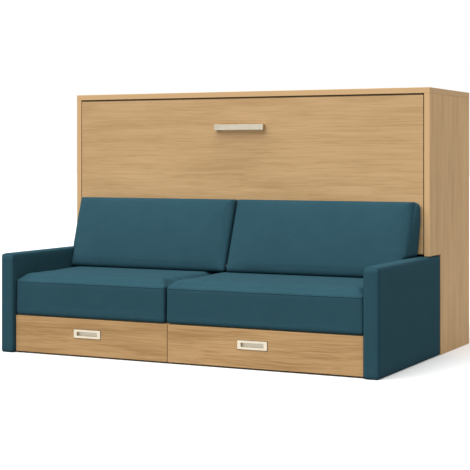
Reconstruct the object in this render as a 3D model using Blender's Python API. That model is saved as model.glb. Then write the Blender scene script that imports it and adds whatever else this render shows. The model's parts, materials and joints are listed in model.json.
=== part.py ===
"""Wall bed with sofa: a single bed folds down sideways out of an oak cabinet, over a two-seat sofa.

Metres, +Z up. +X runs along the width, +Y goes back to the wall, and the origin is the middle of
the footprint, on the floor. Left and right are those of someone who faces the sofa.
"""

import math

import bmesh
import bpy
from mathutils import Matrix, Vector

# Overall sizes that drive the rest
MATTRESS_LENGTH = 1.900
MATTRESS_WIDTH = 0.800
MATTRESS_THICKNESS = 0.150
CABINET_DEPTH = 0.690
SOFA_REACH = 0.740
SEAT_HEIGHT = 0.420
ARM_HEIGHT = 0.523

# Fits
SEAT_GAP = 0.0003
RUNNING_GAP = 0.001
OVERRUN = 0.010

# Cabinet boards
BOARD = 0.030
THIN_BOARD = 0.018
BOARD_EDGE = 0.001
BACK_SHEET = 0.008
BACK_RECESS = 0.010
BACK_GROOVE = 0.008
BOTTOM_RAISE = 0.040
SHELF_CLEARANCE = 0.020
NOTCH_GAP = 0.002

# Door, which is the underside of the bed when it is down
DOOR_THICKNESS = 0.022
DOOR_GAP = 0.004
DOOR_MARGIN = 0.002
SWEEP_CLEARANCE = 0.0039

# Bed frame of rectangular steel tube, with the slats on it
TUBE_DEPTH = 0.040
TUBE_WIDTH = 0.020
TUBE_WALL = 0.002
FRAME_MARGIN = 0.025
SLAT_THICKNESS = 0.012
SLAT_COUNT = 14
SLAT_BORDER = 0.045
SLAT_SPACE_SHARE = 0.45
MATTRESS_ROUND = 0.030
MATTRESS_END_ROUND = 0.025
STRAP_WIDTH = 0.040
STRAP_THICKNESS = 0.002
STRAP_PLACE_SHARE = 0.52
STRAP_SETBACK = 0.002

# Side lifting mechanism, measured from the bed's pivot
PIVOT_SETBACK = 0.050
FOLD_CLEARANCE = 0.026
ARM_CLEARANCE = 0.004
MECHANISM_SPACE = 0.060
WALL_PLATE = 0.003
WALL_PLATE_MARGIN = 0.020
WALL_PLATE_DROP = 0.040
WALL_PLATE_ROUND = 0.012
PIVOT_RADIUS = 0.006
PIVOT_REACH = 0.010
STOP_RADIUS = 0.008
STOP_BACK = 0.108
STOP_RISE = 0.0535
BED_PLATE = 0.004
BED_PLATE_FRONT = 0.026
BED_PLATE_BACK = 0.058
BED_PLATE_RISE = 0.140
BED_PLATE_DROP = 0.125
BED_PLATE_HEEL = 0.010
HEEL_ROUND = 0.0006
BED_PLATE_ROUND = 0.010
ANCHOR_BACK = 0.090
ANCHOR_RISE = 0.405
ANCHOR_PLATE_HALF = 0.040
STUD_BACK = 0.030
STUD_DROP = 0.075
STUD_RADIUS = 0.004
STUD_HEAD_RADIUS = 0.0065
STUD_HEAD = 0.003
EYE_RADIUS = 0.009
EYE_THICKNESS = 0.009
EYE_CLEARANCE = 0.0005
NECK_RADIUS = 0.0042
STRUT_NECK = 0.020
STRUT_RADIUS = 0.009
STRUT_BODY_END = 0.300
STRUT_BORE_START = 0.028
ROD_RADIUS = 0.004
ROD_CLEARANCE = 0.0006
ROD_LENGTH = 0.345

# Wall brackets
BRACKET_LEG = 0.060
BRACKET_WIDTH = 0.040
BRACKET_THICKNESS = 0.003
BRACKET_INSET = 0.250
BRACKET_HOLE_RADIUS = 0.003

# Sofa
ARM_THICKNESS = 0.080
ARM_TUCK = 0.180
ARM_FRONT_ROUND = 0.026
ARM_CORNER_ROUND = 0.012
ARM_EDGE_ROUND = 0.015
DIVIDER_X = -0.065
DECK_TOP = 0.1995
DECK_THICKNESS = 0.018
DECK_SETBACK = 0.046
SEAT_FRONT_GAP = 0.016
SEAT_SIDE_GAP = 0.0015
SEAT_SPLIT_X = -0.077
SEAT_SPLIT_GAP = 0.004
SEAT_CROWN = 0.027
SEAT_CROWN_GAP = 0.001
SEAT_FRONT_ROUND = 0.040
SEAT_REAR_ROUND = 0.022
SEAT_BASE_ROUND = 0.016
SEAT_END_ROUND = 0.014
SEAT_DRAW_IN = 0.003
SEAT_ROWS = 8
SEAT_FILES = 6

# Back cushions, which hinge forward about the middle of their rounded lower front edge
BACK_FACE_GAP = 0.007
BACK_BASE_DEPTH = 0.198
BACK_TOP_DEPTH = 0.069
BACK_HEIGHT = 0.387
BACK_SIDE_GAP = 0.003
BACK_SPLIT_X = -0.008
BACK_SPLIT_GAP = 0.008
BACK_ROUND = 0.028
BACK_EDGE_ROUND = 0.024
BACK_END_ROUND = 0.020
BACK_CROWN = 0.008
BACK_DRAW_IN = 0.004
BACK_ROWS = 8
BACK_FILES = 5
BACK_FOLD_ANGLE = math.radians(105.0)
HINGE_ROD_RADIUS = 0.006
HINGE_ROD_CLEARANCE = 0.0006
HINGE_ROD_REACH = 0.020
BACK_BOARD_GAP = 0.004
BACK_BOARD_RISE = 0.047
CENTRE_BRACKET_THICKNESS = 0.005
CENTRE_BRACKET_HEIGHT = 0.024

# Drawers
FRONT_THICKNESS = 0.022
FRONT_RECESS = 0.022
FRONT_FLOOR_GAP = 0.008
FRONT_TOP_GAP = 0.003
FRONT_SIDE_GAP = 0.004
FRONT_SPLIT_GAP = 0.003
BOX_BOARD = 0.015
BOX_BOTTOM = 0.006
BOX_FLOOR_GAP = 0.026
BOX_HEIGHT = 0.142
BOX_LENGTH = 0.640
BOX_SIDE_GAP = 0.003
RAIL_THICKNESS = 0.008
RAIL_HEIGHT = 0.016
RAIL_LENGTH = 0.600
RAIL_RAISE = 0.060
RAIL_SETBACK = 0.010
RAIL_GAP = 0.0005
GROOVE_DEPTH = 0.0085

# Recessed drawer pulls
PULL_LENGTH = 0.160
PULL_HEIGHT = 0.043
PULL_PROUD = 0.003
PULL_RAISE = 0.120
PULL_LEFT_SHIFT = -0.013
PULL_RIGHT_SHIFT = -0.0525
PULL_ROUND = 0.002
CUP_LENGTH = 0.140
CUP_HEIGHT = 0.034
CUP_DEPTH = 0.014
SLOT_LENGTH = 0.124
SLOT_HEIGHT = 0.021
SLOT_DEPTH = 0.015
SLOT_ROUND = 0.004

# Door handle
HANDLE_LENGTH = 0.295
HANDLE_HEIGHT = 0.030
HANDLE_PROUD = 0.030
HANDLE_BAR = 0.008
HANDLE_LEG = 0.012
HANDLE_ROUND = 0.003
HANDLE_DROP = 0.161
HANDLE_SHIFT = -0.010

# How finely round shapes are drawn
ROUND_SEGMENTS = 16
PIN_SEGMENTS = 12
FILLET_STEPS = 4
SOFT_STEPS = 3
SMALL_STEPS = 2
FACE_FADE = 8
SOFT_CORNER_SHARE = 1.1
SMOOTH_ANGLE = math.radians(35.0)

# Places across the width, all from the middle to one side
FRAME_HALF = MATTRESS_LENGTH / 2 + FRAME_MARGIN
INNER_HALF = FRAME_HALF + MECHANISM_SPACE
WIDTH = 2 * (INNER_HALF + BOARD)
DOOR_HALF = INNER_HALF - DOOR_GAP
ARM_INNER = WIDTH / 2 - ARM_THICKNESS
PLATE_INNER = FRAME_HALF + SEAT_GAP
PLATE_OUTER = PLATE_INNER + BED_PLATE
WALL_PLATE_INNER = INNER_HALF - SEAT_GAP - WALL_PLATE
STRUT_HALF = (PLATE_OUTER + WALL_PLATE_INNER) / 2 + EYE_CLEARANCE

# Places from front to back
DEPTH = CABINET_DEPTH + SOFA_REACH
WALL_Y = DEPTH / 2
CABINET_Y = WALL_Y - CABINET_DEPTH
SOFA_Y = -DEPTH / 2
ARM_REAR_Y = CABINET_Y + ARM_TUCK
NOTCH_Y = ARM_REAR_Y + NOTCH_GAP
BACK_SHEET_Y = WALL_Y - BACK_RECESS - BACK_SHEET
BACK_Y = CABINET_Y - BACK_FACE_GAP
BACK_BOARD_Y = BACK_Y + BACK_BOARD_GAP
FRAME_Y = CABINET_Y + DOOR_THICKNESS + SEAT_GAP
SLAT_Y = FRAME_Y + TUBE_DEPTH + SEAT_GAP
MATTRESS_Y = SLAT_Y + SLAT_THICKNESS + SEAT_GAP
MATTRESS_REAR_Y = MATTRESS_Y + MATTRESS_THICKNESS
STRAP_REAR_Y = MATTRESS_REAR_Y + SEAT_GAP + STRAP_THICKNESS
PIVOT_Y = CABINET_Y + PIVOT_SETBACK

# The back cushion's lower front corner, and its hinge at the middle of that corner's rounding
BACK_LEAN = math.atan2(BACK_BASE_DEPTH - BACK_TOP_DEPTH, BACK_HEIGHT)
BACK_FRONT_Y = BACK_Y - BACK_BASE_DEPTH
BACK_CORNER_HALF_ANGLE = (math.pi / 2 - BACK_LEAN) / 2
BACK_HINGE_Y = BACK_FRONT_Y + BACK_ROUND / math.tan(BACK_CORNER_HALF_ANGLE)
BACK_HINGE_Z = SEAT_HEIGHT + BACK_ROUND
FOLDED_TOP = (
    BACK_HINGE_Z
    + (BACK_Y - BACK_HINGE_Y) * math.sin(BACK_FOLD_ANGLE)
    - BACK_ROUND * math.cos(BACK_FOLD_ANGLE)
)

BACK_BOARD_TOP = BACK_HINGE_Z + BACK_BOARD_RISE

# The bed's pivot clears the folded cushions, and the side plates clear the arms as they swing
HEEL_REACH = STOP_RISE - STOP_RADIUS - SEAT_GAP
PLATE_SWEEP = math.hypot(HEEL_REACH, BED_PLATE_DROP)
PIVOT_Z = max(
    FOLDED_TOP + FOLD_CLEARANCE + PIVOT_SETBACK,
    ARM_HEIGHT + ARM_CLEARANCE + PLATE_SWEEP,
)

# The door's lower edge then clears the arms and the back board
SWEEP_RADIUS = PIVOT_Z - max(ARM_HEIGHT, BACK_BOARD_TOP) - ARM_CLEARANCE
DOOR_BOTTOM = PIVOT_Z - math.sqrt(SWEEP_RADIUS ** 2 - PIVOT_SETBACK ** 2)
FRAME_BOTTOM = DOOR_BOTTOM + DOOR_MARGIN
FRAME_TOP = FRAME_BOTTOM + MATTRESS_WIDTH
SHELF_TOP = DOOR_BOTTOM - SHELF_CLEARANCE

# The cabinet's top clears the strapped mattress as it swings past
MATTRESS_SWEEP = math.hypot(
    MATTRESS_REAR_Y - MATTRESS_ROUND - PIVOT_Y,
    FRAME_TOP - MATTRESS_ROUND - PIVOT_Z,
)
TOP_UNDERSIDE = (
    PIVOT_Z + MATTRESS_SWEEP + MATTRESS_ROUND + SEAT_GAP + STRAP_THICKNESS + SWEEP_CLEARANCE
)
HEIGHT = TOP_UNDERSIDE + BOARD
DOOR_TOP = TOP_UNDERSIDE - DOOR_GAP

PIVOT = Vector((0.0, PIVOT_Y, PIVOT_Z))
BACK_HINGE = Vector((0.0, BACK_HINGE_Y, BACK_HINGE_Z))
ANCHOR = PIVOT + Vector((0.0, ANCHOR_BACK, ANCHOR_RISE))
STUD = PIVOT + Vector((0.0, STUD_BACK, -STUD_DROP))
STRUT_DIRECTION = (STUD - ANCHOR).normalized()

SIDES = (("left", -1), ("right", 1))


def make_finish(name, colour, roughness, metallic=0.0):
    """Return a plain material of one colour."""
    finish = bpy.data.materials.new(name)
    finish.use_nodes = True
    shader = finish.node_tree.nodes["Principled BSDF"]
    shader.inputs["Base Color"].default_value = (*colour, 1.0)
    shader.inputs["Roughness"].default_value = roughness
    shader.inputs["Metallic"].default_value = metallic
    finish.diffuse_color = (*colour, 1.0)
    return finish


def place_of(thing):
    """Return the world place of an object, or the origin for None."""
    place = Vector()
    while thing is not None:
        place += thing.location
        thing = thing.parent
    return place


def add_axis(name, place, carrier=None):
    """Add the empty that marks a joint's axis; the pieces that move on it are its children."""
    axis = bpy.data.objects.new(name, None)
    axis.parent = carrier
    axis.location = place - place_of(carrier)
    bpy.context.collection.objects.link(axis)
    return axis


def add_object(name, shape, carrier):
    """Make an object of a shape that is drawn in world coordinates."""
    bmesh.ops.translate(shape, verts=shape.verts, vec=-place_of(carrier))
    mesh = bpy.data.meshes.new(name)
    shape.to_mesh(mesh)
    shape.free()
    thing = bpy.data.objects.new(name, mesh)
    thing.parent = carrier
    bpy.context.collection.objects.link(thing)
    return thing


def add_piece(name, shape, finish, carrier=None):
    """Add one physical piece; a carrier is the empty on the axis of the joint that moves it."""
    bmesh.ops.recalc_face_normals(shape, faces=shape.faces)
    piece = add_object(name, shape, carrier)
    piece.data.materials.append(finish)
    piece.data.shade_smooth()
    piece.data.set_sharp_from_angle(angle=SMOOTH_ANGLE)
    return piece


def shape_piece(piece, shape, operation):
    """Cut a shape from a piece, or fuse one to it, with a Boolean and a hidden helper."""
    bmesh.ops.recalc_face_normals(shape, faces=shape.faces)
    helper = add_object(f"{piece.name}_{operation.lower()}", shape, piece.parent)
    helper.hide_render = True
    helper.display_type = "WIRE"
    boolean = piece.modifiers.new(operation.title(), "BOOLEAN")
    boolean.operation = operation
    boolean.object = helper


def cut(piece, shape):
    """Cut a shape out of a piece."""
    shape_piece(piece, shape, "DIFFERENCE")


def fuse(piece, shape):
    """Fuse a shape that overlaps a piece to it, as one body."""
    shape_piece(piece, shape, "UNION")


def mirrored(sign, near, far):
    """Return the span from near to far, in order, on the side that sign names."""
    return tuple(sorted((sign * near, sign * far)))


def box(x, y, z):
    """Return a box that fills three spans, each a (low, high) pair."""
    low = Vector((x[0], y[0], z[0]))
    high = Vector((x[1], y[1], z[1]))
    shape = bmesh.new()
    stretch = Matrix.Diagonal((high - low).to_4d())
    stretch[3][3] = 1.0
    bmesh.ops.create_cube(shape, size=1.0, matrix=Matrix.Translation((low + high) / 2) @ stretch)
    return shape


def board(x, y, z):
    """Return a box whose edges are broken by the edging's small round."""
    shape = box(x, y, z)
    soften(shape, shape.edges, BOARD_EDGE)
    return shape


def soften(shape, edges, radius):
    """Break edges with a small flat."""
    bmesh.ops.bevel(
        shape, geom=list(edges), offset=radius, affect="EDGES", segments=1, profile=0.5, material=-1
    )


def rounded(points, radii, steps=FILLET_STEPS):
    """Return an outline with each corner replaced by an arc of its radius."""
    outline = []
    for number, corner in enumerate(points):
        corner = Vector(corner)
        before = (Vector(points[number - 1]) - corner).normalized()
        after = (Vector(points[(number + 1) % len(points)]) - corner).normalized()
        radius = radii[number]
        if radius == 0:
            outline.append(tuple(corner))
            continue
        half_angle = before.angle(after) / 2
        middle = corner + (before + after).normalized() * radius / math.sin(half_angle)
        first = corner + before * radius / math.tan(half_angle) - middle
        last = corner + after * radius / math.tan(half_angle) - middle
        turn = first.angle_signed(last)
        for step in range(steps + 1):
            spoke = first.copy()
            spoke.rotate(Matrix.Rotation(-turn * step / steps, 2))
            outline.append(tuple(middle + spoke))
    return outline


def extruded(outline, low, high, along="x"):
    """Extrude an outline along an axis; its points are the other two coordinates, in order."""
    place = {
        "x": lambda a, b: (low, a, b),
        "y": lambda a, b: (a, low, b),
        "z": lambda a, b: (a, b, low),
    }[along]
    step = {"x": (high - low, 0, 0), "y": (0, high - low, 0), "z": (0, 0, high - low)}[along]
    shape = bmesh.new()
    face = shape.faces.new([shape.verts.new(place(*point)) for point in outline])
    grown = bmesh.ops.extrude_face_region(shape, geom=[face])["geom"]
    moved = [item for item in grown if isinstance(item, bmesh.types.BMVert)]
    bmesh.ops.translate(shape, verts=moved, vec=step)
    bmesh.ops.recalc_face_normals(shape, faces=shape.faces)
    return shape


def rectangle(a, b):
    """Return the four corners of a rectangle that fills two spans."""
    return [(a[0], b[0]), (a[1], b[0]), (a[1], b[1]), (a[0], b[1])]


def cylinder(start, end, radius, segments=PIN_SEGMENTS):
    """Return a cylinder between two points."""
    start = Vector(start)
    run = Vector(end) - start
    turn = run.to_track_quat("Z", "Y").to_matrix().to_4x4()
    shape = bmesh.new()
    bmesh.ops.create_cone(
        shape,
        cap_ends=True,
        segments=segments,
        radius1=radius,
        radius2=radius,
        depth=run.length,
        matrix=Matrix.Translation(start + run / 2) @ turn,
    )
    return shape


def across(point, near, far):
    """Return the two ends of a line along X through a point."""
    return Vector((near, point.y, point.z)), Vector((far, point.y, point.z))


def soft_block(points, radii, x, end_round, steps=SOFT_STEPS):
    """Extrude an outline of (y, z) points along X, with ends that are rounded like a cushion's.

    No corner of the outline is sharper than the ends, whose insets would cross there.
    """
    least = end_round * SOFT_CORNER_SHARE
    outline = rounded(points, [max(radius, least) for radius in radii])
    shape = extruded(outline, x[0] + end_round, x[1] - end_round)
    ends = [face for face in shape.faces if abs(face.normal.x) > math.cos(SMOOTH_ANGLE)]
    for end in ends:
        for step in range(steps):
            old = math.pi / 2 * step / steps
            new = math.pi / 2 * (step + 1) / steps
            bmesh.ops.inset_region(
                shape,
                faces=[end],
                thickness=end_round * (math.cos(old) - math.cos(new)),
                depth=end_round * (math.sin(new) - math.sin(old)),
                use_even_offset=True,
            )
    return shape


def add_rows(shape, low, high, axis, count):
    """Cut rows of vertices across a shape, evenly between low and high along an axis."""
    normal = Vector([float(number == axis) for number in range(3)])
    for row in range(1, count):
        place = normal * (low + (high - low) * row / count)
        parts = [*shape.verts, *shape.edges, *shape.faces]
        bmesh.ops.bisect_plane(shape, geom=parts, plane_co=place, plane_no=normal)


def share(value, span):
    """Return where a value lies in a span, from -1 at its low end to 1 at its high end."""
    return 2 * (value - span[0]) / (span[1] - span[0]) - 1


def dome(*shares):
    """Return 1 in the middle of a face and 0 on its edges."""
    height = 1.0
    for value in shares:
        height *= max(0.0, 1 - value ** 2)
    return height


def draw_in_ends(shape, x, y, z, depth):
    """Pull a cushion's two ends in between their corners."""
    for vertex in shape.verts:
        across_share = share(vertex.co.x, x)
        fade = abs(across_share) ** FACE_FADE * math.copysign(1.0, across_share)
        vertex.co.x -= depth * fade * dome(share(vertex.co.y, y), share(vertex.co.z, z))


OAK = make_finish("oak_laminate", (0.56, 0.37, 0.19), 0.55)
OAK_INSIDE = make_finish("oak_inside", (0.52, 0.35, 0.19), 0.6)
TEAL = make_finish("teal_fabric", (0.030, 0.085, 0.110), 0.9)
NICKEL = make_finish("champagne_nickel", (0.72, 0.66, 0.55), 0.3, 1.0)
STEEL = make_finish("zinc_steel", (0.55, 0.56, 0.58), 0.35, 1.0)
DARK_STEEL = make_finish("dark_tube", (0.06, 0.06, 0.065), 0.45, 0.6)
STRUT_BLACK = make_finish("strut_black", (0.02, 0.02, 0.022), 0.35, 0.3)
BIRCH = make_finish("birch_slats", (0.66, 0.52, 0.34), 0.6)
TICKING = make_finish("mattress_ticking", (0.80, 0.79, 0.76), 0.9)
WEBBING = make_finish("strap_webbing", (0.05, 0.055, 0.06), 0.85)


def build_cabinet():
    """Build the boards of the cabinet that the bed folds into."""
    edge = BOARD_EDGE
    inside = (-INNER_HALF + SEAT_GAP, INNER_HALF - SEAT_GAP)
    groove = (BACK_SHEET_Y - SEAT_GAP, BACK_SHEET_Y + BACK_SHEET + SEAT_GAP)
    sheet_half = INNER_HALF + BACK_GROOVE - SEAT_GAP
    sheet_top = TOP_UNDERSIDE + BACK_GROOVE - SEAT_GAP
    groove_half = INNER_HALF + BACK_GROOVE

    top = add_piece(
        "top_panel",
        board((-WIDTH / 2, WIDTH / 2), (CABINET_Y, WALL_Y), (TOP_UNDERSIDE, HEIGHT)),
        OAK,
    )
    groove_z = (TOP_UNDERSIDE - OVERRUN, TOP_UNDERSIDE + BACK_GROOVE)
    cut(top, box((-groove_half, groove_half), groove, groove_z))

    side_outline = [
        (CABINET_Y, ARM_HEIGHT + NOTCH_GAP),
        (NOTCH_Y, ARM_HEIGHT + NOTCH_GAP),
        (NOTCH_Y, 0),
        (WALL_Y, 0),
        (WALL_Y, TOP_UNDERSIDE - SEAT_GAP),
        (CABINET_Y, TOP_UNDERSIDE - SEAT_GAP),
    ]
    for side, sign in SIDES:
        shape = extruded(side_outline, *mirrored(sign, INNER_HALF, INNER_HALF + BOARD))
        soften(shape, shape.edges, edge)
        panel = add_piece(f"side_panel_{side}", shape, OAK)
        groove_x = mirrored(sign, INNER_HALF - OVERRUN, INNER_HALF + BACK_GROOVE)
        cut(panel, box(groove_x, groove, (BOTTOM_RAISE, TOP_UNDERSIDE + OVERRUN)))

    add_piece(
        "back_panel",
        box(
            (-sheet_half, sheet_half),
            (BACK_SHEET_Y, BACK_SHEET_Y + BACK_SHEET),
            (BOTTOM_RAISE + SEAT_GAP, sheet_top),
        ),
        OAK_INSIDE,
    )
    inner_y = (NOTCH_Y + SEAT_GAP, BACK_SHEET_Y - SEAT_GAP)
    front_rear = inner_y[0] + THIN_BOARD
    shelf_bottom = SHELF_TOP - THIN_BOARD
    add_piece("bed_shelf", box(inside, inner_y, (shelf_bottom, SHELF_TOP)), OAK_INSIDE)
    add_piece(
        "lower_front_panel",
        box(inside, (inner_y[0], front_rear), (0, shelf_bottom - SEAT_GAP)),
        OAK_INSIDE,
    )
    add_piece(
        "bottom_panel",
        box(inside, (front_rear + SEAT_GAP, inner_y[1]), (BOTTOM_RAISE, BOTTOM_RAISE + THIN_BOARD)),
        OAK_INSIDE,
    )


def build_wall_brackets():
    """Build the angle brackets that tie the cabinet to the wall, under its top."""
    rear = BACK_SHEET_Y - SEAT_GAP
    top = TOP_UNDERSIDE - SEAT_GAP
    outline = [
        (rear, top),
        (rear, top - BRACKET_LEG),
        (rear - BRACKET_THICKNESS, top - BRACKET_LEG),
        (rear - BRACKET_THICKNESS, top - BRACKET_THICKNESS),
        (rear - BRACKET_LEG, top - BRACKET_THICKNESS),
        (rear - BRACKET_LEG, top),
    ]
    for side, sign in SIDES:
        outer = INNER_HALF - BRACKET_INSET
        shape = extruded(outline, *mirrored(sign, outer - BRACKET_WIDTH, outer))
        bracket = add_piece(f"wall_bracket_{side}", shape, STEEL)
        middle = sign * (outer - BRACKET_WIDTH / 2)
        hole_z = top - BRACKET_LEG / 2
        start = (middle, rear - BRACKET_THICKNESS - OVERRUN, hole_z)
        cut(bracket, cylinder(start, (middle, rear + OVERRUN, hole_z), BRACKET_HOLE_RADIUS))


def build_pivot_plates():
    """Build the wall plates that carry the bed: each has the pivot pin and the stop pin."""
    margin = WALL_PLATE_MARGIN
    outline = rounded(
        rectangle(
            (PIVOT_Y - margin, PIVOT_Y + STOP_BACK + margin),
            (PIVOT_Z - WALL_PLATE_DROP, PIVOT_Z + STOP_RISE + margin),
        ),
        [WALL_PLATE_ROUND] * 4,
    )
    stop = PIVOT + Vector((0, STOP_BACK, STOP_RISE))
    for side, sign in SIDES:
        span = mirrored(sign, WALL_PLATE_INNER, INNER_HALF - SEAT_GAP)
        plate = add_piece(f"pivot_plate_{side}", extruded(outline, *span), STEEL)
        root = sign * (WALL_PLATE_INNER + WALL_PLATE / 2)
        pivot_end = sign * (FRAME_HALF - PIVOT_REACH)
        stop_end = sign * (PLATE_INNER + RUNNING_GAP)
        fuse(plate, cylinder(*across(PIVOT, root, pivot_end), PIVOT_RADIUS))
        fuse(plate, cylinder(*across(stop, root, stop_end), STOP_RADIUS))


def build_strut_anchors():
    """Build the wall plates that hold the upper eyes of the gas struts, each with its stud."""
    outline = rounded(
        rectangle(
            (ANCHOR.y - WALL_PLATE_MARGIN, ANCHOR.y + WALL_PLATE_MARGIN),
            (ANCHOR.z - ANCHOR_PLATE_HALF, ANCHOR.z + ANCHOR_PLATE_HALF),
        ),
        [WALL_PLATE_ROUND] * 4,
    )
    eye_inner = STRUT_HALF - EYE_THICKNESS / 2
    head_end = eye_inner - EYE_CLEARANCE - STUD_HEAD
    for side, sign in SIDES:
        span = mirrored(sign, WALL_PLATE_INNER, INNER_HALF - SEAT_GAP)
        plate = add_piece(f"strut_anchor_{side}", extruded(outline, *span), STEEL)
        root = sign * (WALL_PLATE_INNER + WALL_PLATE / 2)
        fuse(plate, cylinder(*across(ANCHOR, root, sign * (head_end + STUD_HEAD / 2)), STUD_RADIUS))
        head = across(ANCHOR, sign * (head_end + STUD_HEAD), sign * head_end)
        fuse(plate, cylinder(*head, STUD_HEAD_RADIUS))


def build_door(bed):
    """Build the door panel and its flat bar handle."""
    face = (CABINET_Y, CABINET_Y + DOOR_THICKNESS)
    add_piece("door_panel", board((-DOOR_HALF, DOOR_HALF), face, (DOOR_BOTTOM, DOOR_TOP)), OAK, bed)

    outer = HANDLE_LENGTH / 2
    inner = outer - HANDLE_LEG
    front = CABINET_Y - HANDLE_PROUD
    foot = CABINET_Y - SEAT_GAP
    outline = rounded(
        [
            (HANDLE_SHIFT - outer, front),
            (HANDLE_SHIFT + outer, front),
            (HANDLE_SHIFT + outer, foot),
            (HANDLE_SHIFT + inner, foot),
            (HANDLE_SHIFT + inner, front + HANDLE_BAR),
            (HANDLE_SHIFT - inner, front + HANDLE_BAR),
            (HANDLE_SHIFT - inner, foot),
            (HANDLE_SHIFT - outer, foot),
        ],
        [HANDLE_ROUND, HANDLE_ROUND, 0, 0, HANDLE_ROUND, HANDLE_ROUND, 0, 0],
        SMALL_STEPS,
    )
    middle = DOOR_TOP - HANDLE_DROP
    span = (middle - HANDLE_HEIGHT / 2, middle + HANDLE_HEIGHT / 2)
    add_piece("door_handle", extruded(outline, *span, along="z"), NICKEL, bed)


def build_bed_frame(bed):
    """Build the tube frame, the slatted base and the side plates that hang on the pivots."""
    frame_y = (FRAME_Y, FRAME_Y + TUBE_DEPTH)
    bore_y = (frame_y[0] + TUBE_WALL, frame_y[1] - TUBE_WALL)
    frame_z = (FRAME_BOTTOM, FRAME_TOP)
    end_inner = FRAME_HALF - TUBE_WIDTH
    for side, sign in SIDES:
        end = add_piece(
            f"frame_end_{side}", box(mirrored(sign, end_inner, FRAME_HALF), frame_y, frame_z),
            DARK_STEEL, bed,
        )
        bore_x = mirrored(sign, end_inner + TUBE_WALL, FRAME_HALF - TUBE_WALL)
        cut(end, box(bore_x, bore_y, (FRAME_BOTTOM - OVERRUN, FRAME_TOP + OVERRUN)))
        pin_hole = across(PIVOT, sign * (FRAME_HALF - TUBE_WIDTH / 2), sign * (FRAME_HALF + OVERRUN))
        cut(end, cylinder(*pin_hole, PIVOT_RADIUS + RUNNING_GAP))

    rail_x = (-end_inner + SEAT_GAP, end_inner - SEAT_GAP)
    rails = (("lower", FRAME_BOTTOM), ("upper", FRAME_TOP - TUBE_WIDTH))
    for name, bottom in rails:
        rail = add_piece(
            f"frame_rail_{name}", box(rail_x, frame_y, (bottom, bottom + TUBE_WIDTH)), DARK_STEEL, bed
        )
        bore_z = (bottom + TUBE_WALL, bottom + TUBE_WIDTH - TUBE_WALL)
        cut(rail, box((rail_x[0] - OVERRUN, rail_x[1] + OVERRUN), bore_y, bore_z))

    slat_y = (SLAT_Y, SLAT_Y + SLAT_THICKNESS)
    slats = add_piece("slat_base", box((-FRAME_HALF, FRAME_HALF), slat_y, frame_z), BIRCH, bed)
    slot_z = (FRAME_BOTTOM + SLAT_BORDER, FRAME_TOP - SLAT_BORDER)
    pitch = 2 * FRAME_HALF / SLAT_COUNT
    for number in range(1, SLAT_COUNT):
        middle = -FRAME_HALF + pitch * number
        half = pitch * SLAT_SPACE_SHARE / 2
        cutter = box((middle - half, middle + half), (slat_y[0] - OVERRUN, slat_y[1] + OVERRUN), slot_z)
        cut(slats, cutter)

    build_bed_plates(bed)


def build_bed_plates(bed):
    """Build the steel side plates: bored for the pivot, with the strut's stud and the stop edge."""
    heel_y = PIVOT_Y + HEEL_REACH
    heel_z = PIVOT_Z - STOP_BACK
    clear_z = heel_z + STOP_RADIUS + BED_PLATE_HEEL
    outline = rounded(
        [
            (PIVOT_Y - BED_PLATE_FRONT, PIVOT_Z - BED_PLATE_DROP),
            (heel_y, PIVOT_Z - BED_PLATE_DROP),
            (heel_y, clear_z),
            (PIVOT_Y + BED_PLATE_BACK, clear_z + BED_PLATE_BACK - HEEL_REACH),
            (PIVOT_Y + BED_PLATE_BACK, PIVOT_Z + BED_PLATE_RISE),
            (PIVOT_Y - BED_PLATE_FRONT, PIVOT_Z + BED_PLATE_RISE),
        ],
        [BED_PLATE_ROUND, HEEL_ROUND, 0, BED_PLATE_ROUND, BED_PLATE_ROUND, BED_PLATE_ROUND],
    )
    stud_end = STRUT_HALF - EYE_THICKNESS / 2 - EYE_CLEARANCE
    for side, sign in SIDES:
        span = mirrored(sign, PLATE_INNER, PLATE_OUTER)
        plate = add_piece(f"bed_plate_{side}", extruded(outline, *span), STEEL, bed)
        bore = across(PIVOT, sign * (PLATE_INNER - OVERRUN), sign * (PLATE_OUTER + OVERRUN))
        cut(plate, cylinder(*bore, PIVOT_RADIUS + RUNNING_GAP, ROUND_SEGMENTS))
        stud = across(STUD, sign * (PLATE_INNER + BED_PLATE / 2), sign * stud_end)
        fuse(plate, cylinder(*stud, STUD_RADIUS))


def build_mattress(bed):
    """Build the mattress and the two straps that hold it when the bed is up."""
    half = MATTRESS_LENGTH / 2
    corners = rectangle((MATTRESS_Y, MATTRESS_REAR_Y), (FRAME_BOTTOM, FRAME_TOP))
    shape = soft_block(corners, [MATTRESS_ROUND] * 4, (-half, half), MATTRESS_END_ROUND)
    add_piece("mattress", shape, TICKING, bed)

    inner = (FRAME_BOTTOM - SEAT_GAP, FRAME_TOP + SEAT_GAP)
    outer = (inner[0] - STRAP_THICKNESS, inner[1] + STRAP_THICKNESS)
    start = FRAME_Y + STRAP_SETBACK
    inner_y = STRAP_REAR_Y - STRAP_THICKNESS
    inner_round = MATTRESS_ROUND + SEAT_GAP
    outer_round = inner_round + STRAP_THICKNESS
    outline = rounded(
        [
            (start, outer[0]), (STRAP_REAR_Y, outer[0]), (STRAP_REAR_Y, outer[1]), (start, outer[1]),
            (start, inner[1]), (inner_y, inner[1]), (inner_y, inner[0]), (start, inner[0]),
        ],
        [0, outer_round, outer_round, 0, 0, inner_round, inner_round, 0],
    )
    for side, sign in SIDES:
        middle = sign * half * STRAP_PLACE_SHARE
        span = (middle - STRAP_WIDTH / 2, middle + STRAP_WIDTH / 2)
        add_piece(f"mattress_strap_{side}", extruded(outline, *span), WEBBING, bed)


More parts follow.
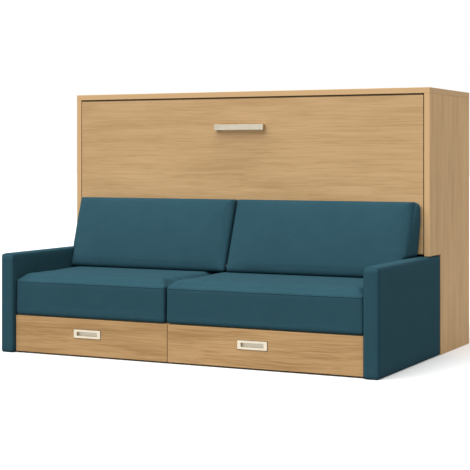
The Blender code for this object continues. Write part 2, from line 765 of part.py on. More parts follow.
def build_struts():
    """Build the two gas struts: a bored cylinder on the anchor, and a rod that slides in it."""
    for side, sign in SIDES:
        anchor = Vector((sign * STRUT_HALF, ANCHOR.y, ANCHOR.z))
        stud = Vector((sign * STRUT_HALF, STUD.y, STUD.z))
        swing = add_axis(f"strut_swing_axis_{side}", anchor)
        slide = add_axis(f"strut_slide_axis_{side}", stud, swing)
        eye = (anchor.x - EYE_THICKNESS / 2, anchor.x + EYE_THICKNESS / 2)

        neck = anchor + STRUT_DIRECTION * STRUT_NECK
        body_end = anchor + STRUT_DIRECTION * STRUT_BODY_END
        tube = add_piece(
            f"strut_cylinder_{side}", cylinder(neck, body_end, STRUT_RADIUS, ROUND_SEGMENTS),
            STRUT_BLACK, swing,
        )
        fuse(tube, cylinder(anchor, neck + STRUT_DIRECTION * NECK_RADIUS, NECK_RADIUS))
        fuse(tube, cylinder(*across(anchor, *eye), EYE_RADIUS, ROUND_SEGMENTS))
        eye_bore = across(anchor, eye[0] - OVERRUN, eye[1] + OVERRUN)
        cut(tube, cylinder(*eye_bore, STUD_RADIUS + EYE_CLEARANCE))
        rod_bore = anchor + STRUT_DIRECTION * STRUT_BORE_START
        cut(tube, cylinder(rod_bore, body_end + STRUT_DIRECTION * OVERRUN, ROD_RADIUS + ROD_CLEARANCE))

        rod_end = stud - STRUT_DIRECTION * ROD_LENGTH
        rod = add_piece(f"strut_rod_{side}", cylinder(rod_end, stud, ROD_RADIUS), STEEL, slide)
        fuse(rod, cylinder(*across(stud, *eye), EYE_RADIUS, ROUND_SEGMENTS))
        rod_eye_bore = across(stud, eye[0] - OVERRUN, eye[1] + OVERRUN)
        cut(rod, cylinder(*rod_eye_bore, STUD_RADIUS + EYE_CLEARANCE))


def build_sofa_base():
    """Build the boards under the seat, and the drawer rails on them."""
    front = SOFA_Y + DECK_SETBACK
    base_y = (front, NOTCH_Y)
    base_z = (0, DECK_TOP - DECK_THICKNESS - SEAT_GAP)
    outer = ARM_INNER - SEAT_GAP
    inner = outer - THIN_BOARD
    split = (DIVIDER_X - THIN_BOARD / 2, DIVIDER_X + THIN_BOARD / 2)
    for side, sign in SIDES:
        add_piece(f"base_side_{side}", box(mirrored(sign, inner, outer), base_y, base_z), OAK_INSIDE)
    add_piece("base_divider", box(split, base_y, base_z), OAK_INSIDE)
    deck_z = (DECK_TOP - DECK_THICKNESS, DECK_TOP)
    add_piece("seat_deck", box((-outer, outer), base_y, deck_z), OAK_INSIDE)

    rail_y = (front + RAIL_SETBACK, front + RAIL_SETBACK + RAIL_LENGTH)
    rail_z = (RAIL_RAISE, RAIL_RAISE + RAIL_HEIGHT)
    rails = (
        ("left_outer", -inner + SEAT_GAP, RAIL_THICKNESS),
        ("left_inner", split[0] - SEAT_GAP, -RAIL_THICKNESS),
        ("right_inner", split[1] + SEAT_GAP, RAIL_THICKNESS),
        ("right_outer", inner - SEAT_GAP, -RAIL_THICKNESS),
    )
    for name, root, reach in rails:
        span = tuple(sorted((root, root + reach)))
        add_piece(f"drawer_rail_{name}", box(span, rail_y, rail_z), STEEL)


def build_arms():
    """Build the two upholstered arms, each with the blind hole for the back cushions' rod."""
    corners = rectangle((SOFA_Y, ARM_REAR_Y), (0, ARM_HEIGHT))
    radii = [ARM_CORNER_ROUND, ARM_CORNER_ROUND, ARM_CORNER_ROUND, ARM_FRONT_ROUND]
    for side, sign in SIDES:
        span = mirrored(sign, ARM_INNER, WIDTH / 2)
        shape = soft_block(corners, radii, span, ARM_EDGE_ROUND, SMALL_STEPS)
        arm = add_piece(f"arm_{side}", shape, TEAL)
        reach = HINGE_ROD_REACH + RUNNING_GAP
        hole = across(BACK_HINGE, sign * (ARM_INNER - OVERRUN), sign * (ARM_INNER + reach))
        cut(arm, cylinder(*hole, HINGE_ROD_RADIUS + HINGE_ROD_CLEARANCE))


def build_seat_cushions():
    """Build the two crowned seat cushions; they meet a little to one side of the divider."""
    y = (SOFA_Y + SEAT_FRONT_GAP, BACK_BOARD_Y - BACK_BOARD_GAP)
    z = (DECK_TOP + SEAT_GAP, SEAT_HEIGHT - SEAT_CROWN - SEAT_CROWN_GAP)
    radii = [SEAT_BASE_ROUND, SEAT_BASE_ROUND, SEAT_REAR_ROUND, SEAT_FRONT_ROUND]
    outer = ARM_INNER - SEAT_SIDE_GAP
    seats = (
        ("left", (-outer, SEAT_SPLIT_X - SEAT_SPLIT_GAP / 2)),
        ("right", (SEAT_SPLIT_X + SEAT_SPLIT_GAP / 2, outer)),
    )
    for side, x in seats:
        shape = soft_block(rectangle(y, z), radii, x, SEAT_END_ROUND)
        add_rows(shape, *x, axis=0, count=SEAT_ROWS)
        add_rows(shape, *y, axis=1, count=SEAT_FILES)
        for vertex in shape.verts:
            height = max(0.0, share(vertex.co.z, z)) ** FACE_FADE
            vertex.co.z += SEAT_CROWN * height * dome(share(vertex.co.x, x), share(vertex.co.y, y))
        draw_in_ends(shape, x, y, z, SEAT_DRAW_IN)
        add_piece(f"seat_cushion_{side}", shape, TEAL)


def build_back_cushions():
    """Build the wedge back cushions on their hinge rod, with its bracket and the back board."""
    top = SEAT_HEIGHT + BACK_HEIGHT
    y = (BACK_FRONT_Y, BACK_Y)
    z = (SEAT_HEIGHT, top)
    front_top = (BACK_Y - BACK_TOP_DEPTH, top)
    corners = [(BACK_FRONT_Y, SEAT_HEIGHT), (BACK_Y, SEAT_HEIGHT), (BACK_Y, top), front_top]
    radii = [BACK_ROUND, BACK_EDGE_ROUND, BACK_EDGE_ROUND, BACK_EDGE_ROUND]
    outer = ARM_INNER - BACK_SIDE_GAP
    backs = (
        ("left", (-outer, BACK_SPLIT_X - BACK_SPLIT_GAP / 2)),
        ("right", (BACK_SPLIT_X + BACK_SPLIT_GAP / 2, outer)),
    )
    for side, x in backs:
        hinge = add_axis(f"back_hinge_axis_{side}", BACK_HINGE)
        shape = soft_block(corners, radii, x, BACK_END_ROUND)
        add_rows(shape, *x, axis=0, count=BACK_ROWS)
        add_rows(shape, *z, axis=2, count=BACK_FILES)
        for vertex in shape.verts:
            height_share = share(vertex.co.z, z)
            front_y = BACK_FRONT_Y + (vertex.co.z - SEAT_HEIGHT) * math.tan(BACK_LEAN)
            forward = max(0.0, -share(vertex.co.y, (front_y, BACK_Y))) ** FACE_FADE
            swell = dome(share(vertex.co.x, x), height_share)
            vertex.co.y -= BACK_CROWN * forward * swell
        draw_in_ends(shape, x, y, z, BACK_DRAW_IN)
        cushion = add_piece(f"back_cushion_{side}", shape, TEAL, hinge)
        bore = across(BACK_HINGE, x[0] - OVERRUN, x[1] + OVERRUN)
        cut(cushion, cylinder(*bore, HINGE_ROD_RADIUS + HINGE_ROD_CLEARANCE))

    rod_end = ARM_INNER + HINGE_ROD_REACH
    rod = cylinder(*across(BACK_HINGE, -rod_end, rod_end), HINGE_ROD_RADIUS)
    add_piece("back_hinge_rod", rod, STEEL)

    board_end = ARM_INNER - SEAT_GAP
    board_y = (BACK_BOARD_Y, BACK_BOARD_Y + THIN_BOARD)
    board_z = (DECK_TOP + SEAT_GAP, BACK_BOARD_TOP)
    back_board = add_piece("back_board", box((-board_end, board_end), board_y, board_z), OAK_INSIDE)

    low = BACK_SPLIT_X - CENTRE_BRACKET_THICKNESS / 2
    high = BACK_SPLIT_X + CENTRE_BRACKET_THICKNESS / 2
    bar_z = (BACK_HINGE_Z - CENTRE_BRACKET_HEIGHT / 2, BACK_HINGE_Z + CENTRE_BRACKET_HEIGHT / 2)
    bar = box((low, high), (BACK_HINGE_Y, board_y[1]), bar_z)
    bracket = add_piece("rod_centre_bracket", bar, STEEL)
    eye = across(BACK_HINGE, low, high)
    fuse(bracket, cylinder(*eye, CENTRE_BRACKET_HEIGHT / 2, ROUND_SEGMENTS))
    rod_hole = across(BACK_HINGE, low - OVERRUN, high + OVERRUN)
    cut(bracket, cylinder(*rod_hole, HINGE_ROD_RADIUS + HINGE_ROD_CLEARANCE))
    slot_x = (low - SEAT_GAP, high + SEAT_GAP)
    slot_z = (bar_z[0] - SEAT_GAP, bar_z[1] + SEAT_GAP)
    cut(back_board, box(slot_x, (board_y[0] - OVERRUN, board_y[1] + OVERRUN), slot_z))


def build_drawer(side, front_x, inside_x, pull_shift):
    """Build one drawer: its front with the recessed pull, and the box that runs on the rails."""
    slide = add_axis(f"drawer_slide_axis_{side}", Vector((sum(front_x) / 2, SOFA_Y, PULL_RAISE)))
    face_y = SOFA_Y + FRONT_RECESS
    front_y = (face_y, face_y + FRONT_THICKNESS)
    front_z = (FRONT_FLOOR_GAP, DECK_TOP - FRONT_TOP_GAP)
    front = add_piece(f"drawer_{side}_front", board(front_x, front_y, front_z), OAK, slide)

    middle = sum(front_x) / 2 + pull_shift
    cup_x = (middle - CUP_LENGTH / 2, middle + CUP_LENGTH / 2)
    cup_z = (PULL_RAISE - CUP_HEIGHT / 2, PULL_RAISE + CUP_HEIGHT / 2)
    pocket_x = (cup_x[0] - SEAT_GAP, cup_x[1] + SEAT_GAP)
    pocket_z = (cup_z[0] - SEAT_GAP, cup_z[1] + SEAT_GAP)
    cut(front, box(pocket_x, (face_y - OVERRUN, face_y + CUP_DEPTH + SEAT_GAP), pocket_z))

    plate = rounded(
        rectangle(
            (middle - PULL_LENGTH / 2, middle + PULL_LENGTH / 2),
            (PULL_RAISE - PULL_HEIGHT / 2, PULL_RAISE + PULL_HEIGHT / 2),
        ),
        [PULL_ROUND] * 4,
        SMALL_STEPS,
    )
    slot = rounded(
        rectangle(
            (middle - SLOT_LENGTH / 2, middle + SLOT_LENGTH / 2),
            (PULL_RAISE - SLOT_HEIGHT / 2, PULL_RAISE + SLOT_HEIGHT / 2),
        ),
        [SLOT_ROUND] * 4,
        SMALL_STEPS,
    )
    pull_y = (face_y - SEAT_GAP - PULL_PROUD, face_y - SEAT_GAP)
    pull = add_piece(f"drawer_{side}_pull", extruded(plate, *pull_y, along="y"), NICKEL, slide)
    fuse(pull, box(cup_x, (pull_y[0] + PULL_PROUD / 2, face_y + CUP_DEPTH), cup_z))
    cut(pull, extruded(slot, pull_y[0] - OVERRUN, pull_y[0] + SLOT_DEPTH, along="y"))

    box_y = (front_y[1] + SEAT_GAP, front_y[1] + SEAT_GAP + BOX_LENGTH)
    bottom_z = (BOX_FLOOR_GAP, BOX_FLOOR_GAP + BOX_BOTTOM)
    wall_z = (bottom_z[1] + SEAT_GAP, bottom_z[1] + SEAT_GAP + BOX_HEIGHT)
    outer_x = (inside_x[0] + BOX_SIDE_GAP, inside_x[1] - BOX_SIDE_GAP)
    groove_z = (RAIL_RAISE - RAIL_GAP, RAIL_RAISE + RAIL_HEIGHT + RAIL_GAP)
    walls = (("left", outer_x[0], 1), ("right", outer_x[1], -1))
    for name, outer, inward in walls:
        inner = outer + inward * BOX_BOARD
        groove = outer + inward * GROOVE_DEPTH
        outline = [
            (outer, wall_z[0]), (inner, wall_z[0]), (inner, wall_z[1]), (outer, wall_z[1]),
            (outer, groove_z[1]), (groove, groove_z[1]), (groove, groove_z[0]), (outer, groove_z[0]),
        ]
        shape = extruded(outline, *box_y, along="y")
        add_piece(f"drawer_{side}_side_{name}", shape, BIRCH, slide)
    add_piece(f"drawer_{side}_bottom", box(outer_x, box_y, bottom_z), BIRCH, slide)
    inner_x = (outer_x[0] + BOX_BOARD + SEAT_GAP, outer_x[1] - BOX_BOARD - SEAT_GAP)
    add_piece(f"drawer_{side}_back", box(inner_x, (box_y[1] - BOX_BOARD, box_y[1]), wall_z), BIRCH, slide)


def build_drawers():
    """Build the two drawers, either side of the divider."""
    front_outer = ARM_INNER - FRONT_SIDE_GAP
    inside_outer = ARM_INNER - SEAT_GAP - THIN_BOARD
    half_split = FRONT_SPLIT_GAP / 2
    half_divider = THIN_BOARD / 2
    left_front = (-front_outer, DIVIDER_X - half_split)
    left_inside = (-inside_outer, DIVIDER_X - half_divider)
    build_drawer("left", left_front, left_inside, PULL_LEFT_SHIFT)
    right_front = (DIVIDER_X + half_split, front_outer)
    right_inside = (DIVIDER_X + half_divider, inside_outer)
    build_drawer("right", right_front, right_inside, PULL_RIGHT_SHIFT)


def build_bed():
    """Build everything that folds down with the door."""
    bed = add_axis("bed_fold_axis", PIVOT)
    build_door(bed)
    build_bed_frame(bed)
    build_mattress(bed)


def main():
    """Clear the scene and build the wall bed."""
    for thing in list(bpy.data.objects):
        bpy.data.objects.remove(thing)
    build_cabinet()
    build_wall_brackets()
    build_pivot_plates()
    build_strut_anchors()
    build_bed()
    build_struts()
    build_sofa_base()
    build_arms()
    build_seat_cushions()
    build_back_cushions()
    build_drawers()
    print(f"Width {WIDTH:.4f}, depth {DEPTH:.4f}, height {HEIGHT:.4f}")
    print(f"Bed pivot at y {PIVOT_Y:.5f}, z {PIVOT_Z:.5f}")
    print(f"Back cushion hinge at y {BACK_HINGE_Y:.5f}, z {BACK_HINGE_Z:.5f}")
    print(f"Strut anchor at x {STRUT_HALF:.5f}, y {ANCHOR.y:.5f}, z {ANCHOR.z:.5f}")


main()
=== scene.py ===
"""Looks of the wall bed with sofa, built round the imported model.

The boards, steel parts and struts are eased copies of the model's solids with procedural finishes.
The cushions, arms, mattress and straps are soft pieces of their own that replace the plain solids.
"""

import json
import logging
import math
from dataclasses import dataclass
from enum import Enum
from functools import cached_property, reduce
from typing import Callable, Iterable, Mapping, Sequence

import bmesh
import bpy
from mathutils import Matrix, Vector

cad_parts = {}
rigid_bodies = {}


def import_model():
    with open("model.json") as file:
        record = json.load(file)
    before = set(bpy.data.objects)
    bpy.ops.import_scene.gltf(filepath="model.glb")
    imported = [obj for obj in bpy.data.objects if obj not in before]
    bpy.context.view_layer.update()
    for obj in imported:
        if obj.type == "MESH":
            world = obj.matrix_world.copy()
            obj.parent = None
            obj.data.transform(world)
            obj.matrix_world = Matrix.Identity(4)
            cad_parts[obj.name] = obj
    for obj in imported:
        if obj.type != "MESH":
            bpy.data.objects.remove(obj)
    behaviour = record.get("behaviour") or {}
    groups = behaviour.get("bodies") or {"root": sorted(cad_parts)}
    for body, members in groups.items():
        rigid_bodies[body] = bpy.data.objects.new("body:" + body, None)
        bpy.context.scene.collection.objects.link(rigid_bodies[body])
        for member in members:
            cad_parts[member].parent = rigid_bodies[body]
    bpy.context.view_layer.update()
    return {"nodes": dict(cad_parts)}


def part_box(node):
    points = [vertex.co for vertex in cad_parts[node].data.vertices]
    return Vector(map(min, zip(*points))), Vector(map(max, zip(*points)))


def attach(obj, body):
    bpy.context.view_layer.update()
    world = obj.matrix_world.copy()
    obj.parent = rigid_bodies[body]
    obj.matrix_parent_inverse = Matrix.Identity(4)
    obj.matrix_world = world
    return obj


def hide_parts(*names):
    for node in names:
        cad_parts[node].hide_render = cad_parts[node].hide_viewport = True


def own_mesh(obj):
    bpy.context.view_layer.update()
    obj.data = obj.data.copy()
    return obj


for leftover in list(bpy.data.objects):
    bpy.data.objects.remove(leftover, do_unlink=True)

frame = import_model()

LOG = logging.getLogger("wall_bed")

Colour = tuple[float, float, float]
Place = tuple[float, float]
Socket = bpy.types.NodeSocket
Item = bpy.types.Object
Shape = bmesh.types.BMesh

MERGE_DISTANCE = 0.00002
FACE_GAP = 0.0003
CORD_POINT_GAP = 0.004
FLAT_ANGLE = math.radians(1.0)
SMOOTH_ANGLE = math.radians(38.0)
ARC_STEPS = 5
SIDES = {"left": -1, "right": 1}
EASED_EDGES = {
    "segments": 3,
    "limit_method": "ANGLE",
    "angle_limit": math.radians(32.0),
    "harden_normals": True,
    "use_clamp_overlap": True,
}
PAD_CLOTH = {
    "quality": 4,
    "mass": 0.3,
    "tension_stiffness": 12.0,
    "compression_stiffness": 12.0,
    "shear_stiffness": 6.0,
    "bending_stiffness": 1.5,
    "use_pressure": True,
    "uniform_pressure_force": 4.0,
}


class Axis(Enum):
    """One of the three directions of the row frame, by its place in a vector."""

    X = 0
    Y = 1
    Z = 2


def set_up(target: object, settings: Mapping[str, object]) -> None:
    """Sets several properties of a Blender item."""
    for name, value in settings.items():
        setattr(target, name, value)


class Recipe:
    """The nodes of one material or world, added and joined by short calls."""

    def __init__(self, owner: bpy.types.Material | bpy.types.World) -> None:
        """Turns the owner's nodes on."""
        owner.use_nodes = True
        self.nodes = owner.node_tree.nodes
        self.links = owner.node_tree.links

    @cached_property
    def place(self) -> bpy.types.NodeOutputs:
        """The piece's own coordinates and normal."""
        return self.add("TexCoord", {}).outputs

    def feed(self, socket: Socket, value: object) -> None:
        """Joins a socket to another one, or sets its value, with a colour's fourth channel added."""
        if isinstance(value, bpy.types.NodeSocket):
            self.links.new(value, socket)
        elif socket.type == "RGBA":
            socket.default_value = (*value, 1.0)
        else:
            socket.default_value = value

    def add(self, kind: str, inputs: Mapping[str | int, object], **settings: str) -> bpy.types.Node:
        """Adds a node.

        Args:
            kind: the end of its type's name.
            inputs: values or sockets by the name or number of the input that takes them.
            settings: the node's own settings.

        Returns:
            The node.
        """
        node = self.nodes.new(f"ShaderNode{kind}")
        set_up(node, settings)
        for key, value in inputs.items():
            self.feed(node.inputs[key], value)
        return node

    def stretched(self, source: Socket, along: Axis, run: float, across: float) -> Socket:
        """Scales coordinates so that a pattern runs out along one axis.

        Args:
            source: coordinates in metres.
            along: the axis of the grain.
            run: pattern units in a metre along the grain.
            across: pattern units in a metre across it.

        Returns:
            The scaled coordinates.
        """
        scale = [run if axis is along else across for axis in Axis]
        return self.add("Mapping", {"Vector": source, "Scale": scale}).outputs["Vector"]

    def shifted(self, source: Socket, shift: Sequence[float]) -> Socket:
        """Moves coordinates, so that two boards don't show the same figure."""
        return self.add("Mapping", {"Vector": source, "Location": shift}).outputs["Vector"]

    def noise(self, source: Socket, scale: float, detail: float = 3.0, roughness: float = 0.5) -> Socket:
        """Cloudy values around one half.

        Args:
            source: the coordinates.
            scale: clouds in a unit of them.
            detail: octaves of finer clouds.
            roughness: how strongly the finer ones count.

        Returns:
            The value.
        """
        inputs = {"Vector": source, "Scale": scale, "Detail": detail, "Roughness": roughness}
        return self.add("TexNoise", inputs).outputs[0]

    def grained(
        self, source: Socket, along: Axis, units: Place, detail: float = 3.0, roughness: float = 0.6
    ) -> Socket:
        """Noise drawn out along a grain, by its units in a metre along it and across it."""
        return self.noise(self.stretched(source, along, *units), 1.0, detail, roughness)

    def cells(self, source: Socket, smoothness: float = 0.6) -> Socket:
        """Distance to the nearest of scattered points, with soft borders."""
        inputs = {"Vector": source, "Scale": 1.0, "Smoothness": smoothness}
        return self.add("TexVoronoi", inputs, feature="SMOOTH_F1").outputs["Distance"]

    def sum(self, operation: str, *values: object) -> Socket:
        """One step of arithmetic on values or sockets."""
        return self.add("Math", dict(enumerate(values)), operation=operation).outputs[0]

    def weighted(self, values: Sequence[Socket], weights: Sequence[float]) -> Socket:
        """Adds values up by their weights."""
        parts = [self.sum("MULTIPLY", value, weight) for value, weight in zip(values, weights)]
        return reduce(lambda total, part: self.sum("ADD", total, part), parts)

    def span(
        self, value: Socket, low: float, high: float, to_low: float = 0.0, to_high: float = 1.0
    ) -> Socket:
        """Maps a value from one range to another, clamped."""
        inputs = {"Value": value, "From Min": low, "From Max": high, "To Min": to_low, "To Max": to_high}
        return self.add("MapRange", inputs).outputs["Result"]

    def uneven(self, value: Socket, level: float, less: float, more: float) -> Socket:
        """A level that goes down and up a little with a cloudy value."""
        return self.span(value, 0.3, 0.7, level - less, level + more)

    def warped(self, source: Socket, scale: float, amount: float) -> Socket:
        """Bends coordinates softly, as grain wanders.

        Args:
            source: the coordinates.
            scale: bends in a metre.
            amount: how far they move, in metres.

        Returns:
            The bent coordinates.
        """
        cloud = self.add("TexNoise", {"Vector": source, "Scale": scale, "Detail": 2.0}).outputs[1]
        inputs = {0: cloud, 1: (amount,) * 3, 2: source}
        return self.add("VectorMath", inputs, operation="MULTIPLY_ADD").outputs[0]

    def mix(self, share: object, first: object, second: object) -> Socket:
        """Mixes two colours by a share."""
        return self.add("Mix", {0: share, 6: first, 7: second}, data_type="RGBA").outputs[2]

    def ramp(self, value: Socket, *stops: tuple[float, Colour]) -> Socket:
        """Turns a value into a colour by stops from low to high."""
        node = self.add("ValToRGB", {"Fac": value})
        band = node.color_ramp
        while len(band.elements) < len(stops):
            band.elements.new(0.5)
        for element, (place, colour) in zip(band.elements, stops):
            element.position = place
            element.color = (*colour, 1.0)
        return node.outputs["Color"]

    def part(self, axis: Axis, source: str = "Object") -> Socket:
        """One coordinate of the place on the piece in metres, or of its normal."""
        return self.add("SeparateXYZ", {"Vector": self.place[source]}).outputs[axis.value]

    def facing(self, axis: Axis) -> Socket:
        """One where the surface looks along an axis of the piece, nought where it looks across it."""
        return self.span(self.sum("ABSOLUTE", self.part(axis, "Normal")), 0.45, 0.75)

    def bump(self, height: Socket, strength: float, depth: float) -> Socket:
        """A normal that follows a height, whose full step is a depth in metres."""
        inputs = {"Strength": strength, "Distance": depth, "Height": height}
        return self.add("Bump", inputs).outputs["Normal"]

    def seen(self) -> Socket:
        """One for rays of the camera, of gloss or through glass, nought for the others."""
        rays = self.add("LightPath", {}).outputs
        gloss = self.sum("MAXIMUM", rays["Is Camera Ray"], rays["Is Glossy Ray"])
        return self.sum("MAXIMUM", gloss, rays["Is Transmission Ray"])


@dataclass(frozen=True)
class Finish:
    """A named finish, whose kind says what the shader's sockets take."""

    name: str

    def make(self) -> bpy.types.Material:
        """Builds the finish as a material."""
        material = bpy.data.materials.new(self.name)
        recipe = Recipe(material)
        for socket, value in self.sockets(recipe).items():
            recipe.feed(recipe.nodes["Principled BSDF"].inputs[socket], value)
        return material

    def sockets(self, recipe: Recipe) -> dict[str, object]:
        """Gives what each socket of the shader takes."""
        raise NotImplementedError


class OakTone(Enum):
    """The pale, middle and dark parts of the grain and the edge band of each kind of board; the cabinet's and
    drawers' tones and the door's band hold painted light or shade.
    """

    # The door's edge band is near black: painted shade for the gap round the door.
    DOOR = ((0.668, 0.438, 0.226), (0.606, 0.390, 0.194), (0.520, 0.324, 0.153), (0.090, 0.055, 0.027))
    # A lighter copy of the door's oak: painted light that makes up for the dimmer light on the side faces.
    CABINET = ((0.815, 0.524, 0.258), (0.745, 0.472, 0.226), (0.640, 0.392, 0.178), (0.700, 0.456, 0.236))
    # A darker copy of the oak: painted shade for the low drawer fronts under the seat.
    DRAWER = ((0.600, 0.378, 0.182), (0.520, 0.318, 0.145), (0.400, 0.232, 0.098), (0.440, 0.280, 0.136))
    INSIDE = ((0.610, 0.408, 0.222), (0.533, 0.347, 0.178), (0.432, 0.270, 0.130), (0.575, 0.395, 0.222))


@dataclass(frozen=True)
class Oak(Finish):
    """Oak-pattern laminate: soft bands, streaks and faint flames along the grain."""

    grain: Axis = Axis.X
    broad_faces: Axis = Axis.Y
    shift: float = 0.0
    tone: OakTone = OakTone.INSIDE
    roughness: float = 0.46
    wander: float = 0.04
    wander_scale: float = 1.3
    ripple: float = 0.003
    ripple_scale: float = 6.0
    bands: Place = (1.7, 15.0)
    streaks: Place = (2.4, 165.0)
    pores: Place = (8.0, 300.0)
    flames: Place = (1.1, 7.5)
    rings: float = 34.0
    shares: tuple[float, ...] = (0.30, 0.42, 0.28, 0.012)
    stops: tuple[float, ...] = (0.40, 0.50, 0.60)
    relief: float = 0.0002
    band_share: float = 0.85
    # Painted shade: above this height the band's colour covers the face, for the gap line along the door's
    # top.
    painted_shade_above: float | None = None

    def sockets(self, recipe: Recipe) -> dict[str, object]:
        """Mixes the patterns into the grain, lays the edge band over the narrow faces, and paints a dark
        strip of shade from a given height upwards.
        """
        wavy = recipe.shifted(recipe.place["Object"], (self.shift,) * 3)
        wavy = recipe.warped(wavy, self.wander_scale, self.wander)
        wavy = recipe.warped(wavy, self.ripple_scale, self.ripple)
        bands = recipe.grained(wavy, self.grain, self.bands, 2.0, 0.5)
        streaks = recipe.grained(wavy, self.grain, self.streaks)
        pores = recipe.grained(wavy, self.grain, self.pores)
        seeds = recipe.cells(recipe.stretched(wavy, self.grain, *self.flames))
        rings = recipe.sum("SINE", recipe.sum("MULTIPLY", seeds, self.rings))
        flames = recipe.sum("MULTIPLY", rings, recipe.span(seeds, 0.15, 0.6, 1.0, 0.2))
        tone = recipe.weighted((bands, streaks, pores, flames), self.shares)
        pale, middle, dark, band = self.tone.value
        colour = recipe.ramp(tone, *zip(self.stops, (dark, middle, pale)))
        # On the door the edge band is near black: painted shade for the gap round the door.
        narrow = recipe.sum("SUBTRACT", 1.0, recipe.facing(self.broad_faces))
        colour = recipe.mix(recipe.sum("MULTIPLY", narrow, self.band_share), colour, band)
        # Painted shadow: the band's colour over the strip along the top, for the gap under the top panel.
        if self.painted_shade_above is not None:
            painted_shade_strip = recipe.span(recipe.part(Axis.Z), self.painted_shade_above - FACE_GAP, self.painted_shade_above)
            colour = recipe.mix(painted_shade_strip, colour, band)
        return {
            "Base Color": colour,
            "Roughness": recipe.uneven(streaks, self.roughness, 0.06, 0.08),
            "Normal": recipe.bump(pores, 0.35, self.relief),
            "Specular IOR Level": 0.05,
        }


@dataclass(frozen=True)
class Birch(Finish):
    """Pale birch: fine grain on the faces and the plies' lines on the edges."""

    grain: Axis = Axis.X
    broad_faces: Axis = Axis.Y
    pale: Colour = (0.73, 0.60, 0.42)
    dark: Colour = (0.60, 0.46, 0.29)
    ply: Colour = (0.42, 0.29, 0.17)
    plies: float = 700.0
    streaks: Place = (2.5, 70.0)
    fibres: Place = (9.0, 500.0)
    shares: Place = (0.7, 0.3)
    wander: float = 0.02
    wander_scale: float = 2.0
    relief: float = 0.0002
    roughness: float = 0.55

    def sockets(self, recipe: Recipe) -> dict[str, object]:
        """Mixes the grain of the faces with the plies of the edges."""
        wavy = recipe.warped(recipe.place["Object"], self.wander_scale, self.wander)
        streaks = recipe.grained(wavy, self.grain, self.streaks, 5.0)
        fibres = recipe.grained(wavy, self.grain, self.fibres, 2.0, 0.5)
        tone = recipe.weighted((streaks, fibres), self.shares)
        face = recipe.ramp(tone, (0.35, self.dark), (0.62, self.pale))
        depth = recipe.sum("MULTIPLY", recipe.part(self.broad_faces), self.plies * math.tau / 2)
        edge = recipe.mix(recipe.span(recipe.sum("SINE", depth), -0.2, 0.5), self.pale, self.ply)
        return {
            "Base Color": recipe.mix(recipe.facing(self.broad_faces), edge, face),
            "Roughness": recipe.uneven(fibres, self.roughness, 0.05, 0.1),
            "Normal": recipe.bump(fibres, 0.3, self.relief),
            "Specular IOR Level": 0.3,
        }


@dataclass(frozen=True)
class Fabric(Finish):
    """Upholstery cloth: a fine plain weave with soft shade in it and a dry sheen."""

    colour: Colour
    lighter: Colour
    darker: Colour
    weave: float = 0.0016
    sheen: float = 0.03
    sheen_tint: Colour = (0.50, 0.82, 0.95)
    roughness: float = 0.94
    relief: float = 0.0004
    clouds: float = 9.0
    slubs: float = 260.0
    fibres: float = 1500.0
    shares: tuple[float, ...] = (0.10, 0.36, 0.54, 0.03)

    def sockets(self, recipe: Recipe) -> dict[str, object]:
        """Mixes clouds, slubs, fibres and threads into the cloth."""
        place = recipe.place["Object"]
        clouds = recipe.noise(place, self.clouds)
        slubs = recipe.noise(place, self.slubs, 3.0, 0.6)
        fibres = recipe.noise(place, self.fibres, 2.0)
        threads = self.threads(recipe)
        tone = recipe.weighted((clouds, slubs, fibres, threads), self.shares)
        height = recipe.weighted((threads, slubs), (1.0, 1.2))
        return {
            "Base Color": recipe.ramp(tone, (0.34, self.darker), (0.50, self.colour), (0.66, self.lighter)),
            "Roughness": recipe.uneven(slubs, self.roughness, 0.06, 0.04),
            "Normal": recipe.bump(height, 0.55, self.relief),
            "Sheen Weight": self.sheen,
            "Sheen Roughness": 0.45,
            "Sheen Tint": self.sheen_tint,
            "Specular IOR Level": 0.02,
        }

    def threads(self, recipe: Recipe) -> Socket:
        """Crossed threads that show on a face of any direction."""
        turns = [recipe.sum("MULTIPLY", recipe.part(axis), math.tau / self.weave) for axis in Axis]
        x, y, z = (recipe.sum("SINE", turn) for turn in turns)
        pairs = [recipe.sum("MULTIPLY", *pair) for pair in ((x, y), (y, z), (z, x))]
        return recipe.weighted(pairs, (1.0, 1.0, 1.0))


@dataclass(frozen=True)
class Metal(Finish):
    """A metal or its coating: brush marks or a fine mottle over one colour."""

    colour: Colour
    worn: Colour
    metallic: float = 1.0
    roughness: float = 0.32
    brushed: Axis | None = None
    marks: float = 900.0
    relief: float = 0.00005
    clouds: float = 24.0
    shares: Place = (0.6, 0.4)
    # Painted shade in the hollow behind the face: its colour, the depth along Y where it starts, and how far
    # it fades in.
    recess_shade: Colour | None = None
    recess_shade_from: float = 0.0
    recess_shade_run: float = 0.0015

    def sockets(self, recipe: Recipe) -> dict[str, object]:
        """Mixes the metal's marks, with painted shade in the hollow behind its face where it has one."""
        place = recipe.place["Object"]
        if self.brushed is None:
            marks = recipe.noise(place, self.marks, 3.0, 0.6)
        else:
            marks = recipe.grained(place, self.brushed, (self.marks / 60.0, self.marks * 2.0), 3.0, 0.5)
        tone = recipe.weighted((marks, recipe.noise(place, self.clouds)), self.shares)
        colour = recipe.ramp(tone, (0.35, self.worn), (0.60, self.colour))
        # Painted shade: a darker colour from a depth behind the face, inside the pull's slot.
        if self.recess_shade is not None:
            depth = recipe.span(recipe.part(Axis.Y), self.recess_shade_from, self.recess_shade_from + self.recess_shade_run)
            colour = recipe.mix(depth, colour, self.recess_shade)
        return {
            "Base Color": colour,
            "Metallic": self.metallic,
            "Roughness": recipe.uneven(marks, self.roughness, 0.06, 0.10),
            "Normal": recipe.bump(marks, 0.4, self.relief),
        }


